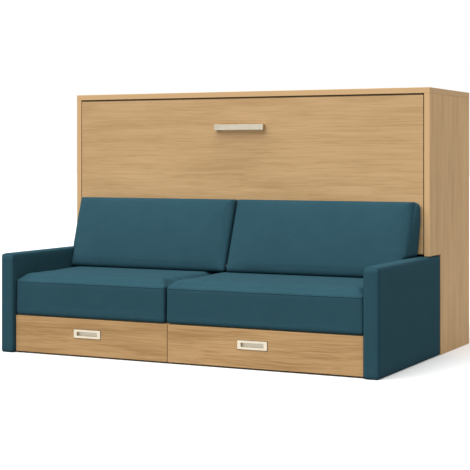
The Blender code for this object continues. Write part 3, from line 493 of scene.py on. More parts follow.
@dataclass(frozen=True)
class PaleFloor(Finish):
    """A floor that shows white, and throws little light back on the object."""

    shade: float = 0.22
    shown: float = 0.97

    def sockets(self, recipe: Recipe) -> dict[str, object]:
        """Gives one grey to the rays that are seen and another to the others."""
        level = recipe.span(recipe.seen(), 0.0, 1.0, self.shade, self.shown)
        grey = recipe.add("CombineColor", {"Red": level, "Green": level, "Blue": level})
        return {"Base Color": grey.outputs["Color"], "Roughness": 0.9, "Specular IOR Level": 0.0}


@dataclass(frozen=True)
class Finishes:
    """The cloths and metals of the object."""

    teal: Fabric = Fabric(
        "teal_cloth", (0.0310, 0.0880, 0.1150), (0.045, 0.116, 0.148), (0.0205, 0.063, 0.084)
    )
    seam: Fabric = Fabric(
        "teal_seam_thread", (0.014, 0.042, 0.056), (0.022, 0.058, 0.076), (0.010, 0.030, 0.042)
    )
    ticking: Fabric = Fabric(
        "mattress_cloth", (0.76, 0.75, 0.71), (0.82, 0.81, 0.78), (0.66, 0.65, 0.61), 0.0022, 0.15
    )
    border: Fabric = Fabric(
        "mattress_border", (0.50, 0.51, 0.51), (0.58, 0.59, 0.59), (0.40, 0.41, 0.41), 0.0022, 0.15
    )
    webbing: Fabric = Fabric(
        "strap_weave", (0.045, 0.048, 0.053), (0.07, 0.073, 0.08), (0.028, 0.030, 0.034), 0.0024, 0.2
    )
    nickel: Metal = Metal(
        "champagne_metal", (0.515, 0.475, 0.385), (0.455, 0.415, 0.325), 1.0, 0.36, Axis.X, 700.0
    )
    steel: Metal = Metal("zinc_plated_steel", (0.62, 0.63, 0.64), (0.50, 0.51, 0.53), 1.0, 0.34, None, 260.0)
    plate: Metal = Metal("bed_plate_zinc", (0.60, 0.61, 0.62), (0.48, 0.49, 0.51), 1.0, 0.36, None, 240.0)
    rail: Metal = Metal("rail_zinc", (0.60, 0.61, 0.62), (0.50, 0.51, 0.53), 1.0, 0.34, Axis.Y, 500.0)
    rod: Metal = Metal("hinge_rod_zinc", (0.30, 0.31, 0.32), (0.24, 0.25, 0.26), 1.0, 0.38, Axis.X, 500.0)
    # The centre bracket, a real part, is coloured near black as painted shade, so that the gap between the
    # back cushions stays dark.
    bracket: Metal = Metal(
        "bracket_shade_black", (0.060, 0.062, 0.066), (0.045, 0.047, 0.050), 0.6, 0.50, None, 400.0
    )
    chrome: Metal = Metal(
        "strut_rod_chrome", (0.74, 0.74, 0.75), (0.66, 0.66, 0.68), 1.0, 0.16, Axis.Z, 500.0
    )
    tube: Metal = Metal(
        "dark_tube_coat", (0.040, 0.040, 0.044), (0.030, 0.030, 0.033), 0.0, 0.46, None, 900.0, 0.0002
    )
    strut: Metal = Metal(
        "strut_black_coat", (0.020, 0.020, 0.022), (0.014, 0.014, 0.016), 0.0, 0.30, None, 600.0
    )
    # A near-black ring round each pull's plate: painted shadow round the plate.
    shadow_ring: Metal = Metal("pull_shadow_ring", (0.055, 0.036, 0.022), (0.040, 0.026, 0.016), 0.0, 0.70, None, 900.0)


def placed(name: str, data: bpy.types.ID) -> Item:
    """Makes an object of its data at the origin, linked to the scene."""
    item = bpy.data.objects.new(name, data)
    bpy.context.scene.collection.objects.link(item)
    return item


def smooth_by_angle(mesh: bpy.types.Mesh) -> None:
    """Shades a mesh smooth, with its edges above an angle kept sharp."""
    mesh.shade_smooth()
    mesh.set_sharp_from_angle(angle=SMOOTH_ANGLE)


def object_from(name: str, shape: Shape, material: bpy.types.Material) -> Item:
    """Makes an object at the origin from a finished bmesh, which is freed.

    Args:
        name: the piece's name.
        shape: its mesh.
        material: its finish.

    Returns:
        The object, linked to the scene.
    """
    mesh = bpy.data.meshes.new(name)
    shape.to_mesh(mesh)
    shape.free()
    mesh.materials.append(material)
    return placed(name, mesh)


def settle(piece: Item, body: str, nodes: Iterable[str] = ()) -> None:
    """Puts a piece on its body and the solids that it stands for.

    Args:
        piece: the new piece.
        body: the body that it rides on.
        nodes: the solids that it replaces.
    """
    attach(piece, body)
    for node in nodes:
        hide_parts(node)
    LOG.info("%s on %s, %d faces", piece.name, body, len(piece.data.polygons))


def soften(piece: Item) -> None:
    """Shades a soft piece smooth and gives it one finer level."""
    piece.data.shade_smooth()
    set_up(piece.modifiers.new("smoother", "SUBSURF"), {"levels": 1, "render_levels": 1})


def dress(nodes: Iterable[str], material: bpy.types.Material, body: str, width: float) -> None:
    """Replaces rigid solids by copies with eased edges.

    Args:
        nodes: the solids' names.
        material: the copies' finish.
        body: the body that they ride on.
        width: how far the easing reaches, in metres.
    """
    for node in nodes:
        shape = bmesh.new()
        shape.from_mesh(frame["nodes"][node].data)
        bmesh.ops.remove_doubles(shape, verts=shape.verts, dist=MERGE_DISTANCE)
        bmesh.ops.dissolve_limit(shape, angle_limit=FLAT_ANGLE, verts=shape.verts, edges=shape.edges)
        piece = object_from(f"{node}_finished", shape, material)
        smooth_by_angle(piece.data)
        set_up(piece.modifiers.new("eased_edges", "BEVEL"), {"width": width, **EASED_EDGES})
        settle(piece, body, [node])


def both(*stems: str) -> list[str]:
    """The names of the solids that are there on the left and on the right."""
    return [f"{stem}_{side}" for side in SIDES for stem in stems]


def smooth_step(value: float) -> float:
    """Goes softly from nought to one while the value does."""
    value = min(max(value, 0.0), 1.0)
    return value * value * (3.0 - 2.0 * value)


def between(start: float, end: float, share: float) -> float:
    """The value at a share of the way from a start to an end."""
    return start + (end - start) * share


def rectangle(low: Place, high: Place) -> tuple[Place, Place, Place, Place]:
    """The corners of an upright rectangle, turning left from its low one."""
    return (low, (high[0], low[1]), high, (low[0], high[1]))


def fillet(corner: Vector, before: Vector, after: Vector, radius: float) -> list[Vector]:
    """Rounds one corner of an outline.

    Args:
        corner: the sharp corner.
        before: the corner before it.
        after: the corner after it.
        radius: of the round.

    Returns:
        The arc's points, or the corner where the radius is nought.
    """
    if radius <= 0.0:
        return [corner.copy()]
    to_before = (before - corner).normalized()
    to_after = (after - corner).normalized()
    half = to_before.angle(to_after) / 2.0
    reach = radius / math.tan(half)
    centre = corner + (to_before + to_after).normalized() * (radius / math.sin(half))
    start = (corner + to_before * reach - centre).normalized()
    end = (corner + to_after * reach - centre).normalized()
    return [centre + start.slerp(end, step / ARC_STEPS) * radius for step in range(ARC_STEPS + 1)]


def inset_outline(corners: Sequence[Place], radii: Sequence[float], depth: float) -> list[Vector]:
    """Draws a rounded convex outline in by a depth.

    Args:
        corners: the sharp outline, turning left.
        radii: the round of each corner.
        depth: how far the outline moves in.

    Returns:
        The points of the inner outline.
    """
    points = [Vector(corner) for corner in corners]
    count = len(points)
    lines = []
    for index, point in enumerate(points):
        run = (points[(index + 1) % count] - point).normalized()
        lines.append((point + Vector((-run.y, run.x)) * depth, run))
    inner = []
    for index in range(count):
        (here, run), (other, turn) = lines[index - 1], lines[index]
        share = (other - here).cross(turn) / run.cross(turn)
        inner.append(here + run * share)
    outline = []
    for index, corner in enumerate(inner):
        outline += fillet(corner, inner[index - 1], inner[(index + 1) % count], radii[index] - depth)
    return outline


def nearest_inside(point: Vector, outline: Sequence[Vector]) -> Vector:
    """The nearest place to a point in a convex outline that turns left."""
    best = point
    best_gap = math.inf
    for index, start in enumerate(outline):
        run = outline[(index + 1) % len(outline)] - start
        if run.cross(point - start) >= 0.0:
            continue
        share = min(max((point - start).dot(run) / max(run.length_squared, 1e-12), 0.0), 1.0)
        place = start + run * share
        gap = (point - place).length
        if gap < best_gap:
            best, best_gap = place, gap
    return best


def extruded(shape: Shape, pulled: Mapping[str, Sequence[object]], way: Sequence[float]) -> None:
    """Moves what an extrusion made, and turns the faces outwards.

    Args:
        shape: the mesh.
        pulled: the extrusion's result.
        way: how far its new corners move.
    """
    moved = [item for item in pulled["geom"] if isinstance(item, bmesh.types.BMVert)]
    bmesh.ops.translate(shape, verts=moved, vec=way)
    bmesh.ops.recalc_face_normals(shape, faces=shape.faces)


@dataclass
class SoftBlock:
    """A rounded block along X, cut into an even grid.

    Its section is a convex outline: front bottom, rear bottom, rear top, front top.
    """

    name: str
    low: Vector
    high: Vector
    end_room: float
    corners: tuple[Place, Place, Place, Place]
    radii: tuple[float, float, float, float]
    end_round: float
    spacing: float = 0.011

    def build(self) -> Shape:
        """Cuts a cube into a grid and rounds it.

        Returns:
            The block's mesh.
        """
        shape = bmesh.new()
        bmesh.ops.create_cube(shape, size=1.0)
        front_low, rear_low, rear_high, front_high = (Vector(corner) for corner in self.corners)
        x_low, x_high = self.low.x + self.end_room, self.high.x - self.end_room
        lengths = (
            x_high - x_low,
            max((rear_low - front_low).length, (rear_high - front_high).length),
            max((rear_high - rear_low).length, (front_high - front_low).length),
        )
        for axis, length in enumerate(lengths):
            lined_up = [edge for edge in shape.edges if self.runs_along(edge, axis)]
            cuts = max(int(round(length / self.spacing)) - 1, 1)
            bmesh.ops.subdivide_edges(shape, edges=lined_up, cuts=cuts, use_grid_fill=True)
        inner = inset_outline(self.corners, self.radii, self.end_round)
        for vert in shape.verts:
            u, v, w = (part + 0.5 for part in vert.co)
            section = front_low.lerp(rear_low, v).lerp(front_high.lerp(rear_high, v), w)
            x = between(x_low, x_high, u)
            core_x = min(max(x, x_low + self.end_round), x_high - self.end_round)
            core = nearest_inside(section, inner)
            away = Vector((x - core_x, section.x - core.x, section.y - core.y))
            vert.co = Vector((core_x, core.x, core.y)) + away.normalized() * self.end_round
        bmesh.ops.recalc_face_normals(shape, faces=shape.faces)
        return shape

    @staticmethod
    def runs_along(edge: bmesh.types.BMEdge, axis: int) -> bool:
        """Says whether an edge lies along one axis."""
        run = edge.verts[1].co - edge.verts[0].co
        return abs(run[axis]) > 0.9 * run.length


@dataclass
class Swelling:
    """One simulated pad: its piece, what is held still, and how far each side may swell."""

    piece: Item
    held: Callable[[Vector], bool]
    reach: tuple[float, float, float]
    cap: float = 0.026

    def __post_init__(self) -> None:
        """Keeps the slack form."""
        self.rest = [vert.co.copy() for vert in self.piece.data.vertices]

    def start(self) -> None:
        """Adds the cloth with pressure inside and no gravity."""
        group = self.piece.vertex_groups.new(name="held")
        group.add([i for i, rest in enumerate(self.rest) if self.held(rest)], 1.0, "REPLACE")
        cloth = self.piece.modifiers.new("pad_cloth", "CLOTH")
        set_up(cloth.settings, PAD_CLOTH)
        cloth.settings.effector_weights.gravity = 0.0
        cloth.settings.vertex_group_mass = group.name
        cloth.collision_settings.use_collision = False

    def finish(self) -> None:
        """Takes the swollen form over, capped, and removes the cloth."""
        evaluated = self.piece.evaluated_get(bpy.context.evaluated_depsgraph_get())
        moves = []
        for vert, rest in zip(evaluated.data.vertices, self.rest):
            move = vert.co - rest
            if move.length > self.cap:
                move = move.normalized() * self.cap
            moves.append(move)
        self.piece.modifiers.remove(self.piece.modifiers["pad_cloth"])
        self.piece.vertex_groups.clear()
        self.apply(moves)

    def apply(self, moves: Sequence[Vector]) -> None:
        """Moves the points, with each axis scaled to its own reach."""
        largest = [max(max(abs(move[i]) for move in moves), 1e-6) for i in range(3)]
        for vert, rest, move in zip(self.piece.data.vertices, self.rest, moves):
            vert.co = rest + Vector(move[i] * self.reach[i] / largest[i] for i in range(3))
        self.piece.data.update()


def swell(pads: Sequence[Swelling], frames: int = 20) -> None:
    for pad in pads:
        pad.start()
    for step in range(1, frames + 1):
        bpy.context.scene.frame_set(step)
    for pad in pads:
        pad.finish()
    bpy.context.scene.frame_set(1)


def cord_along(name: str, points: Sequence[Vector], radius: float, material: bpy.types.Material) -> Item:
    """Makes a closed thin cord through points, for a seam or a piping.

    Args:
        name: the piece's name.
        points: the closed path.
        radius: the cord's radius.
        material: its finish.

    Returns:
        The cord as a mesh at the origin.
    """
    curve = bpy.data.curves.new(name, "CURVE")
    set_up(curve, {"dimensions": "3D", "bevel_depth": radius, "bevel_resolution": 1})
    spline = curve.splines.new("POLY")
    spline.points.add(len(points) - 1)
    spline.use_cyclic_u = True
    for target, point in zip(spline.points, points):
        target.co = (*point, 1.0)
    carrier = placed(f"{name}_path", curve)
    evaluated = carrier.evaluated_get(bpy.context.evaluated_depsgraph_get())
    mesh = bpy.data.meshes.new_from_object(evaluated)
    bpy.data.objects.remove(carrier)
    bpy.data.curves.remove(curve)
    mesh.name = name
    mesh.materials.clear()
    mesh.materials.append(material)
    mesh.shade_smooth()
    return placed(name, mesh)


def ring_on(mesh: bpy.types.Mesh, axis: Axis, offset: float, gap: float = CORD_POINT_GAP) -> list[Vector]:
    """Cuts a mesh across an axis and gives the cut's points in order.

    Args:
        mesh: a closed convex-like mesh.
        axis: the axis that the cut crosses.
        offset: where it crosses it.
        gap: how far apart the points are at least.

    Returns:
        The points, in order round their middle.
    """
    shape = bmesh.new()
    shape.from_mesh(mesh)
    plane = Vector(float(other is axis) for other in Axis)
    cut = bmesh.ops.bisect_plane(
        shape, geom=shape.verts[:] + shape.edges[:] + shape.faces[:], plane_co=plane * offset, plane_no=plane
    )
    points = [item.co.copy() for item in cut["geom_cut"] if isinstance(item, bmesh.types.BMVert)]
    shape.free()
    middle = sum(points, Vector()) / len(points)
    side = plane.orthogonal().normalized()
    other = plane.cross(side)
    points.sort(key=lambda p: math.atan2((p - middle).dot(other), (p - middle).dot(side)))
    spaced = [points[0]]
    for point in points[1:]:
        if (point - spaced[-1]).length > gap:
            spaced.append(point)
    return spaced


@dataclass
class Cabinet:
    """The oak cabinet round the folded bed, with its inner boards and steel parts."""

    outer_ease: float = 0.0008
    inner_ease: float = 0.0006
    steel_ease: float = 0.0005

    def build(self, finishes: Finishes) -> None:
        """Dresses the panels and the steel parts on them."""
        # The top and side panels take the lighter copy of the oak, painted light for the dimmer side faces.
        top = Oak("oak_top_panel", Axis.X, Axis.Z, 0.0, OakTone.CABINET).make()
        sides = Oak("oak_side_panels", Axis.Z, Axis.X, 0.4, OakTone.CABINET).make()
        inner_boards = Oak("oak_inner_boards", Axis.X, Axis.Y, 1.3).make()
        shelves = Oak("oak_shelves", Axis.X, Axis.Z, 2.1).make()
        fittings = both("wall_bracket", "pivot_plate", "strut_anchor")
        dress(["top_panel"], top, "root", self.outer_ease)
        dress(both("side_panel"), sides, "root", self.outer_ease)
        dress(fittings, finishes.steel.make(), "root", self.steel_ease)
        dress(["back_panel", "lower_front_panel"], inner_boards, "root", self.inner_ease)
        dress(["bottom_panel", "bed_shelf"], shelves, "root", self.inner_ease)


@dataclass
class Bed:
    """The door with its bar handle, and the frame, slats, mattress and straps behind it."""

    door_ease: float = 0.0006
    # Width of the strip of painted shade along the door's top edge.
    door_shade_strip: float = 0.005
    handle_ease: float = 0.0012
    tube_ease: float = 0.0030
    slat_ease: float = 0.0015
    plate_ease: float = 0.0004
    piping: float = 0.0035
    piping_setback: float = 0.030
    quilt_pitch: float = 0.155
    quilt_depth: float = 0.0055
    quilt_facing: float = 0.7
    mattress_round: float = 0.030
    mattress_end: float = 0.025
    mattress_grid: float = 0.014
    crown_room: float = 0.004
    crown_spare: float = 0.0005
    strap_thickness: float = 0.002
    strap_round: float = 0.032

    def build(self, finishes: Finishes) -> None:
        """Builds and dresses everything that rides on the bed."""
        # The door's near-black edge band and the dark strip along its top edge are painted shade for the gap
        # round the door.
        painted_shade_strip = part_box("door_panel")[1].z - self.door_shade_strip
        door = Oak("oak_door", Axis.X, Axis.Y, 0.9, OakTone.DOOR, painted_shade_above=painted_shade_strip).make()
        slats = Birch("birch_slats", Axis.Z, Axis.Y).make()
        tubes = both("frame_end") + ["frame_rail_lower", "frame_rail_upper"]
        dress(["door_panel"], door, "bed", self.door_ease)
        dress(["door_handle"], finishes.nickel.make(), "bed", self.handle_ease)
        dress(tubes, finishes.tube.make(), "bed", self.tube_ease)
        dress(["slat_base"], slats, "bed", self.slat_ease)
        dress(both("bed_plate"), finishes.plate.make(), "bed", self.plate_ease)
        self.build_mattress(finishes)
        for side in SIDES:
            self.build_strap(side, finishes)

    def build_mattress(self, finishes: Finishes) -> None:
        """Builds the quilted mattress with a piped border."""
        low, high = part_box("mattress")
        room = self.crown_room
        shape = SoftBlock(
            "mattress_quilted",
            low,
            high,
            room,
            rectangle((low.y + room, low.z + room), (high.y - room, high.z - room)),
            (self.mattress_round,) * 4,
            self.mattress_end,
            self.mattress_grid,
        ).build()
        middle = (low + high) / 2.0
        for vert in shape.verts:
            vert.co += vert.normal * self.quilt(vert.co, vert.normal, middle)
        piece = object_from("mattress_quilted", shape, finishes.ticking.make())
        soften(piece)
        settle(piece, "bed", ["mattress"])
        border = finishes.border.make()
        for label, y in (("front", low.y + self.piping_setback), ("rear", high.y - self.piping_setback)):
            ring = ring_on(piece.data, Axis.Y, y)
            piping = cord_along(f"mattress_piping_{label}", ring, self.piping, border)
            settle(piping, "bed")

    def quilt(self, place: Vector, normal: Vector, middle: Vector) -> float:
        """How far the cloth stands off the block at a place: diamonds on the faces, plain sides."""
        on_face = smooth_step((abs(normal.y) - self.quilt_facing) / (1.0 - self.quilt_facing))
        along = (place.x - middle.x) / self.quilt_pitch
        up = (place.z - middle.z) / self.quilt_pitch
        lines = min(abs(math.sin(math.pi * (along + up))), abs(math.sin(math.pi * (along - up))))
        dip = on_face * self.quilt_depth * (1.0 - math.sqrt(lines))
        return self.crown_room - self.crown_spare - dip

    def build_strap(self, side: str, finishes: Finishes) -> None:
        """Builds one flat strap round the mattress and its frame."""
        node = f"mattress_strap_{side}"
        low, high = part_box(node)
        radii = (0.0, self.strap_round, self.strap_round, 0.0)
        outline = inset_outline(rectangle((low.y, low.z), (high.y, high.z)), radii, 0.0)
        shape = bmesh.new()
        verts = [shape.verts.new((low.x, point.x, point.y)) for point in outline]
        edges = [shape.edges.new((verts[i - 1], vert)) for i, vert in enumerate(verts)]
        pulled = bmesh.ops.extrude_edge_only(shape, edges=edges)
        extruded(shape, pulled, (high.x - low.x, 0.0, 0.0))
        middle = (low + high) / 2.0
        if any(face.normal.dot(face.calc_center_median() - middle) < 0.0 for face in shape.faces):
            bmesh.ops.reverse_faces(shape, faces=shape.faces)
        piece = object_from(f"{node}_woven", shape, finishes.webbing.make())
        solid = piece.modifiers.new("strap_thickness", "SOLIDIFY")
        set_up(solid, {"thickness": self.strap_thickness, "offset": -1.0})
        smooth_by_angle(piece.data)
        settle(piece, "bed", [node])


@dataclass
class Struts:
    """The two gas struts that carry the bed's weight."""

    ease_width: float = 0.0006

    def build(self, finishes: Finishes) -> None:
        """Dresses the cylinders and rods, each on its own body."""
        black = finishes.strut.make()
        chrome = finishes.chrome.make()
        for cylinder, rod in zip(both("strut_cylinder"), both("strut_rod")):
            dress([cylinder], black, cylinder, self.ease_width)
            dress([rod], chrome, rod, self.ease_width)


@dataclass
class Sofa:
    """The upholstered arms, seats and backs on their oak base."""

    arm_round: float = 0.010
    arm_front_round: float = 0.024
    arm_seam_setback: float = 0.011
    arm_seam_gap: float = 0.003
    arm_crown: float = 0.0012
    arm_crown_share: float = 0.95
    arm_crown_run: float = 0.05
    arm_grid: float = 0.013
    held_depth: float = 0.001
    seat_front_room: float = 0.0030
    seat_end_room: float = 0.0025
    seat_crown: float = 0.0270
    seat_end_round: float = 0.011
    seat_front_round: float = 0.022
    seat_rear_round: float = 0.014
    seat_base_round: float = 0.012
    seat_seam: float = 0.373
    seat_fullness: float = 5.0
    crown_passes: int = 5
    seat_give: float = 0.925
    back_crown: float = 0.006
    back_belly: float = 0.016
    belly_run: float = 0.16
    back_proud: float = 0.008
    back_end_room: float = 0.001
    back_front_room: float = 0.001
    back_top_room: float = 0.002
    back_end_round: float = 0.011
    back_round: float = 0.018
    back_rear_round: float = 0.021
    back_edge_round: float = 0.024
    back_base_depth: float = 0.198
    back_top_depth: float = 0.069
    flare_front: float = 0.018
    flare_rear: float = 0.042
    flare_foot_share: float = 0.66
    flare_run: float = 0.14
    flare_rise: float = 0.20
    arm_clearance: float = 0.0015
    grid_row: float = 0.0104
    upright_top_round: float = 0.042
    upright_foot_round: float = 0.020
    corner_inner_round: float = 0.022
    corner_front_round: float = 0.016
    corner_rear_round: float = 0.046
    squeeze: float = 0.957
    seam_radius: float = 0.0011
    inner_ease: float = 0.0006

    def build(self, finishes: Finishes) -> None:
        """Builds the soft pieces and dresses the base."""
        self.teal = finishes.teal.make()
        self.thread = finishes.seam.make()
        self.build_base(finishes)
        for side in SIDES:
            self.build_arm(side)
        seats = {side: self.start_seat(side) for side in SIDES}
        backs = {side: self.start_back(side) for side in SIDES}
        swell([*seats.values(), *backs.values()])
        for side, pad in seats.items():
            self.finish_seat(pad.piece, side)
        for side, pad in backs.items():
            self.finish_back(pad.piece, side)

    def build_base(self, finishes: Finishes) -> None:
        """Dresses the base boards, the hinge rod and its bracket."""
        upright = Oak("oak_base_sides", Axis.Y, Axis.X, 3.1).make()
        deck = Oak("oak_seat_deck", Axis.X, Axis.Z, 3.7).make()
        back = Oak("oak_back_board", Axis.X, Axis.Y, 4.4).make()
        dress([*both("base_side"), "base_divider"], upright, "root", self.inner_ease)
        dress(["seat_deck"], deck, "root", self.inner_ease)
        dress(["back_board"], back, "root", self.inner_ease)
        dress(["back_hinge_rod"], finishes.rod.make(), "root", self.inner_ease)
        dress(["rod_centre_bracket"], finishes.bracket.make(), "root", self.inner_ease)

    def build_arm(self, side: str) -> None:
        """Builds one upholstered arm, a little full between its seams."""
        low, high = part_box(f"arm_{side}")
        room = self.arm_crown
        shape = SoftBlock(
            f"arm_{side}_padded",
            low,
            high,
            room,
            rectangle((low.y, low.z), (high.y, high.z)),
            (self.arm_round, self.arm_round, self.arm_round, self.arm_front_round),
            self.arm_round,
            self.arm_grid,
        ).build()
        for vert in shape.verts:
            inward = min(vert.co.y - low.y, high.y - vert.co.y, vert.co.z - low.z, high.z - vert.co.z)
            full = smooth_step(inward / self.arm_crown_run)
            vert.co.x += vert.normal.x * room * full * self.arm_crown_share
        piece = object_from(f"arm_{side}_padded", shape, self.teal)
        soften(piece)
        settle(piece, "root", [f"arm_{side}"])
        for label, y in (("front", low.y + self.arm_seam_setback), ("rear", high.y - self.arm_seam_setback)):
            ring = ring_on(piece.data, Axis.Y, y, self.arm_seam_gap)
            for point in ring:
                point.z = max(point.z, self.seam_radius)
            seam = cord_along(f"arm_{side}_seam_{label}", ring, self.seam_radius, self.thread)
            settle(seam, "root")

    def start_pad(self, block: SoftBlock, reach_y: float, reach_z: float) -> Swelling:
        """Builds the slack block of a cushion, held at its base and its rear, where it rests.

        Args:
            block: the form.
            reach_y: how far its front may swell.
            reach_z: how far its top may swell.

        Returns:
            The pad, ready to swell.
        """
        piece = object_from(block.name, block.build(), self.teal)
        base, rear = block.low.z + self.held_depth, block.high.y - self.held_depth

        def held(place: Vector) -> bool:
            """Says whether a place rests on something."""
            return place.z < base or place.y > rear

        return Swelling(piece, held, (block.end_room, reach_y, reach_z))

    def start_seat(self, side: str) -> Swelling:
        """Builds the slack block of one seat cushion."""
        low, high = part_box(f"seat_cushion_{side}")
        front = low.y + self.seat_front_room
        block = SoftBlock(
            f"seat_{side}_cushion",
            low,
            high,
            self.seat_end_room,
            rectangle((front, low.z), (high.y, high.z - self.seat_crown)),
            (self.seat_base_round, self.seat_base_round, self.seat_rear_round, self.seat_front_round),
            self.seat_end_round,
        )
        return self.start_pad(block, self.seat_front_room, self.seat_crown)

    def finish_seat(self, piece: Item, side: str) -> None:
        """Sews the seam below the roll."""
        low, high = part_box(f"seat_cushion_{side}")
        self.contain(piece, low, high)
        self.fill_out(piece, high.z - self.seat_crown, high.z)
        soften(piece)
        settle(piece, "root", [f"seat_cushion_{side}"])
        ring = ring_on(piece.data, Axis.Z, self.seat_seam)
        seam = cord_along(f"seat_{side}_seam", ring, self.seam_radius, self.thread)
        settle(seam, "root")
        for item in (piece, seam):
            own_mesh(item)

    def start_back(self, side: str) -> Swelling:
        """Builds the slack wedge of one back cushion."""
        low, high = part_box(f"back_cushion_{side}")
        front_low = high.y - self.back_base_depth + self.back_front_room
        front_high = high.y - self.back_top_depth + self.back_front_room
        top = high.z - self.back_top_room
        block = SoftBlock(
            f"back_{side}_cushion",
            low,
            high,
            self.back_end_room,
            ((front_low, low.z), (high.y, low.z), (high.y, top), (front_high, top)),
            (self.back_round, self.back_rear_round, self.back_rear_round, self.back_edge_round),
            self.back_end_round,
        )
        return self.start_pad(block, self.back_crown, self.back_top_room)

    def finish_back(self, piece: Item, side: str) -> None:
        """Puts one back cushion on its hinge."""
        low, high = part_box(f"back_cushion_{side}")
        self.contain(piece, low - Vector((0.0, self.back_proud, 0.0)), high)
        self.spread_end(piece, SIDES[side], low, high)
        soften(piece)
        settle(piece, f"back_{side}", [f"back_cushion_{side}"])
        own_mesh(piece)

    def spread_end(self, piece: Item, sign: int, low: Vector, high: Vector) -> None:
        """Gives a back cushion its belly, spreads its outer end over the arm and rounds its corners.

        The end spreads most at its top and rear, and its lowest row lies on the arm.

        Args:
            piece: the cushion.
            sign: minus one for the left cushion, one for the right.
            low: the low corner of its solid.
            high: the high corner of its solid.
        """
        over_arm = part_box("arm_left")[1].z + self.arm_clearance
        inner, end = (high.x, low.x) if sign < 0 else (low.x, high.x)
        for vert in piece.data.vertices:
            place = vert.co
            up = (place.z - low.z) / (high.z - low.z)
            depth = between(self.back_base_depth, self.back_top_depth, up)
            rearward = smooth_step(1.0 - (high.y - place.y) / depth)
            inward = min(abs(place.x - low.x), abs(high.x - place.x))
            belly = smooth_step(inward / self.belly_run) * 4.0 * up * (1.0 - up)
            place.y -= self.back_belly * belly * (1.0 - rearward)
            near = smooth_step(1.0 - abs(end - place.x) / self.flare_run)
            above = place.z - over_arm
            rise = smooth_step(above / self.flare_rise)
            if above > 0.0:
                rise = between(self.flare_foot_share, 1.0, rise)
            if 0.0 < above < self.grid_row:
                place.z -= above * near
            reach = between(self.flare_front, self.flare_rear, rearward)
            place.x += sign * reach * near * rise
            front = high.y - depth
            upright = between(self.upright_top_round, self.upright_foot_round, 1.0 - up)
            outer = end + sign * self.flare_front * rise
            self.draw_in(place, Axis.Y, (sign, -1), (outer, front), upright)
            self.draw_in(place, Axis.Y, (-sign, -1), (inner, front), upright)
            radius = between(self.corner_front_round, self.corner_rear_round, rearward)
            self.draw_in(place, Axis.Z, (sign, 1), (end + sign * reach, high.z), radius)
            self.draw_in(place, Axis.Z, (-sign, 1), (inner, high.z), self.corner_inner_round)

    @staticmethod
    def draw_in(place: Vector, axis: Axis, way: tuple[int, int], corner: Place, radius: float) -> None:
        """Draws a point that stands out of a rounded corner onto its round.

        Args:
            place: the point, which is moved.
            axis: the direction that spans the corner together with X.
            way: which way the corner points along X and along that direction.
            corner: where the sharp corner is along X and along that direction.
            radius: the corner's round.
        """
        other = axis.value
        centre = Vector((corner[0] - way[0] * radius, corner[1] - way[1] * radius))
        away = Vector((place.x - centre.x, place[other] - centre.y))
        if away.x * way[0] > 0.0 and away.y * way[1] > 0.0 and away.length > radius:
            away = away.normalized() * radius
            place.x = centre.x + away.x
            place[other] = centre.y + away.y

    def fill_out(self, piece: Item, rim: float, top: float) -> None:
        """Makes a crown fuller towards its edges, with its top as high as before."""
        for vert in piece.data.vertices:
            share = (vert.co.z - rim) / (top - rim)
            if share > 0.0:
                vert.co.z = between(rim, top, 1.0 - (1.0 - min(share, 1.0)) ** self.seat_fullness)
        shape = bmesh.new()
        shape.from_mesh(piece.data)
        crown = [vert for vert in shape.verts if vert.co.z > rim]
        heights = {"use_axis_x": False, "use_axis_y": False, "use_axis_z": True}
        for _ in range(self.crown_passes):
            bmesh.ops.smooth_vert(shape, verts=crown, factor=0.5, **heights)
        shape.to_mesh(piece.data)
        shape.free()

    @staticmethod
    def contain(piece: Item, low: Vector, high: Vector) -> None:
        """Keeps every point of a cushion in the box of its solid."""
        for vert in piece.data.vertices:
            vert.co = Vector(min(max(vert.co[i], low[i]), high[i]) for i in range(3))


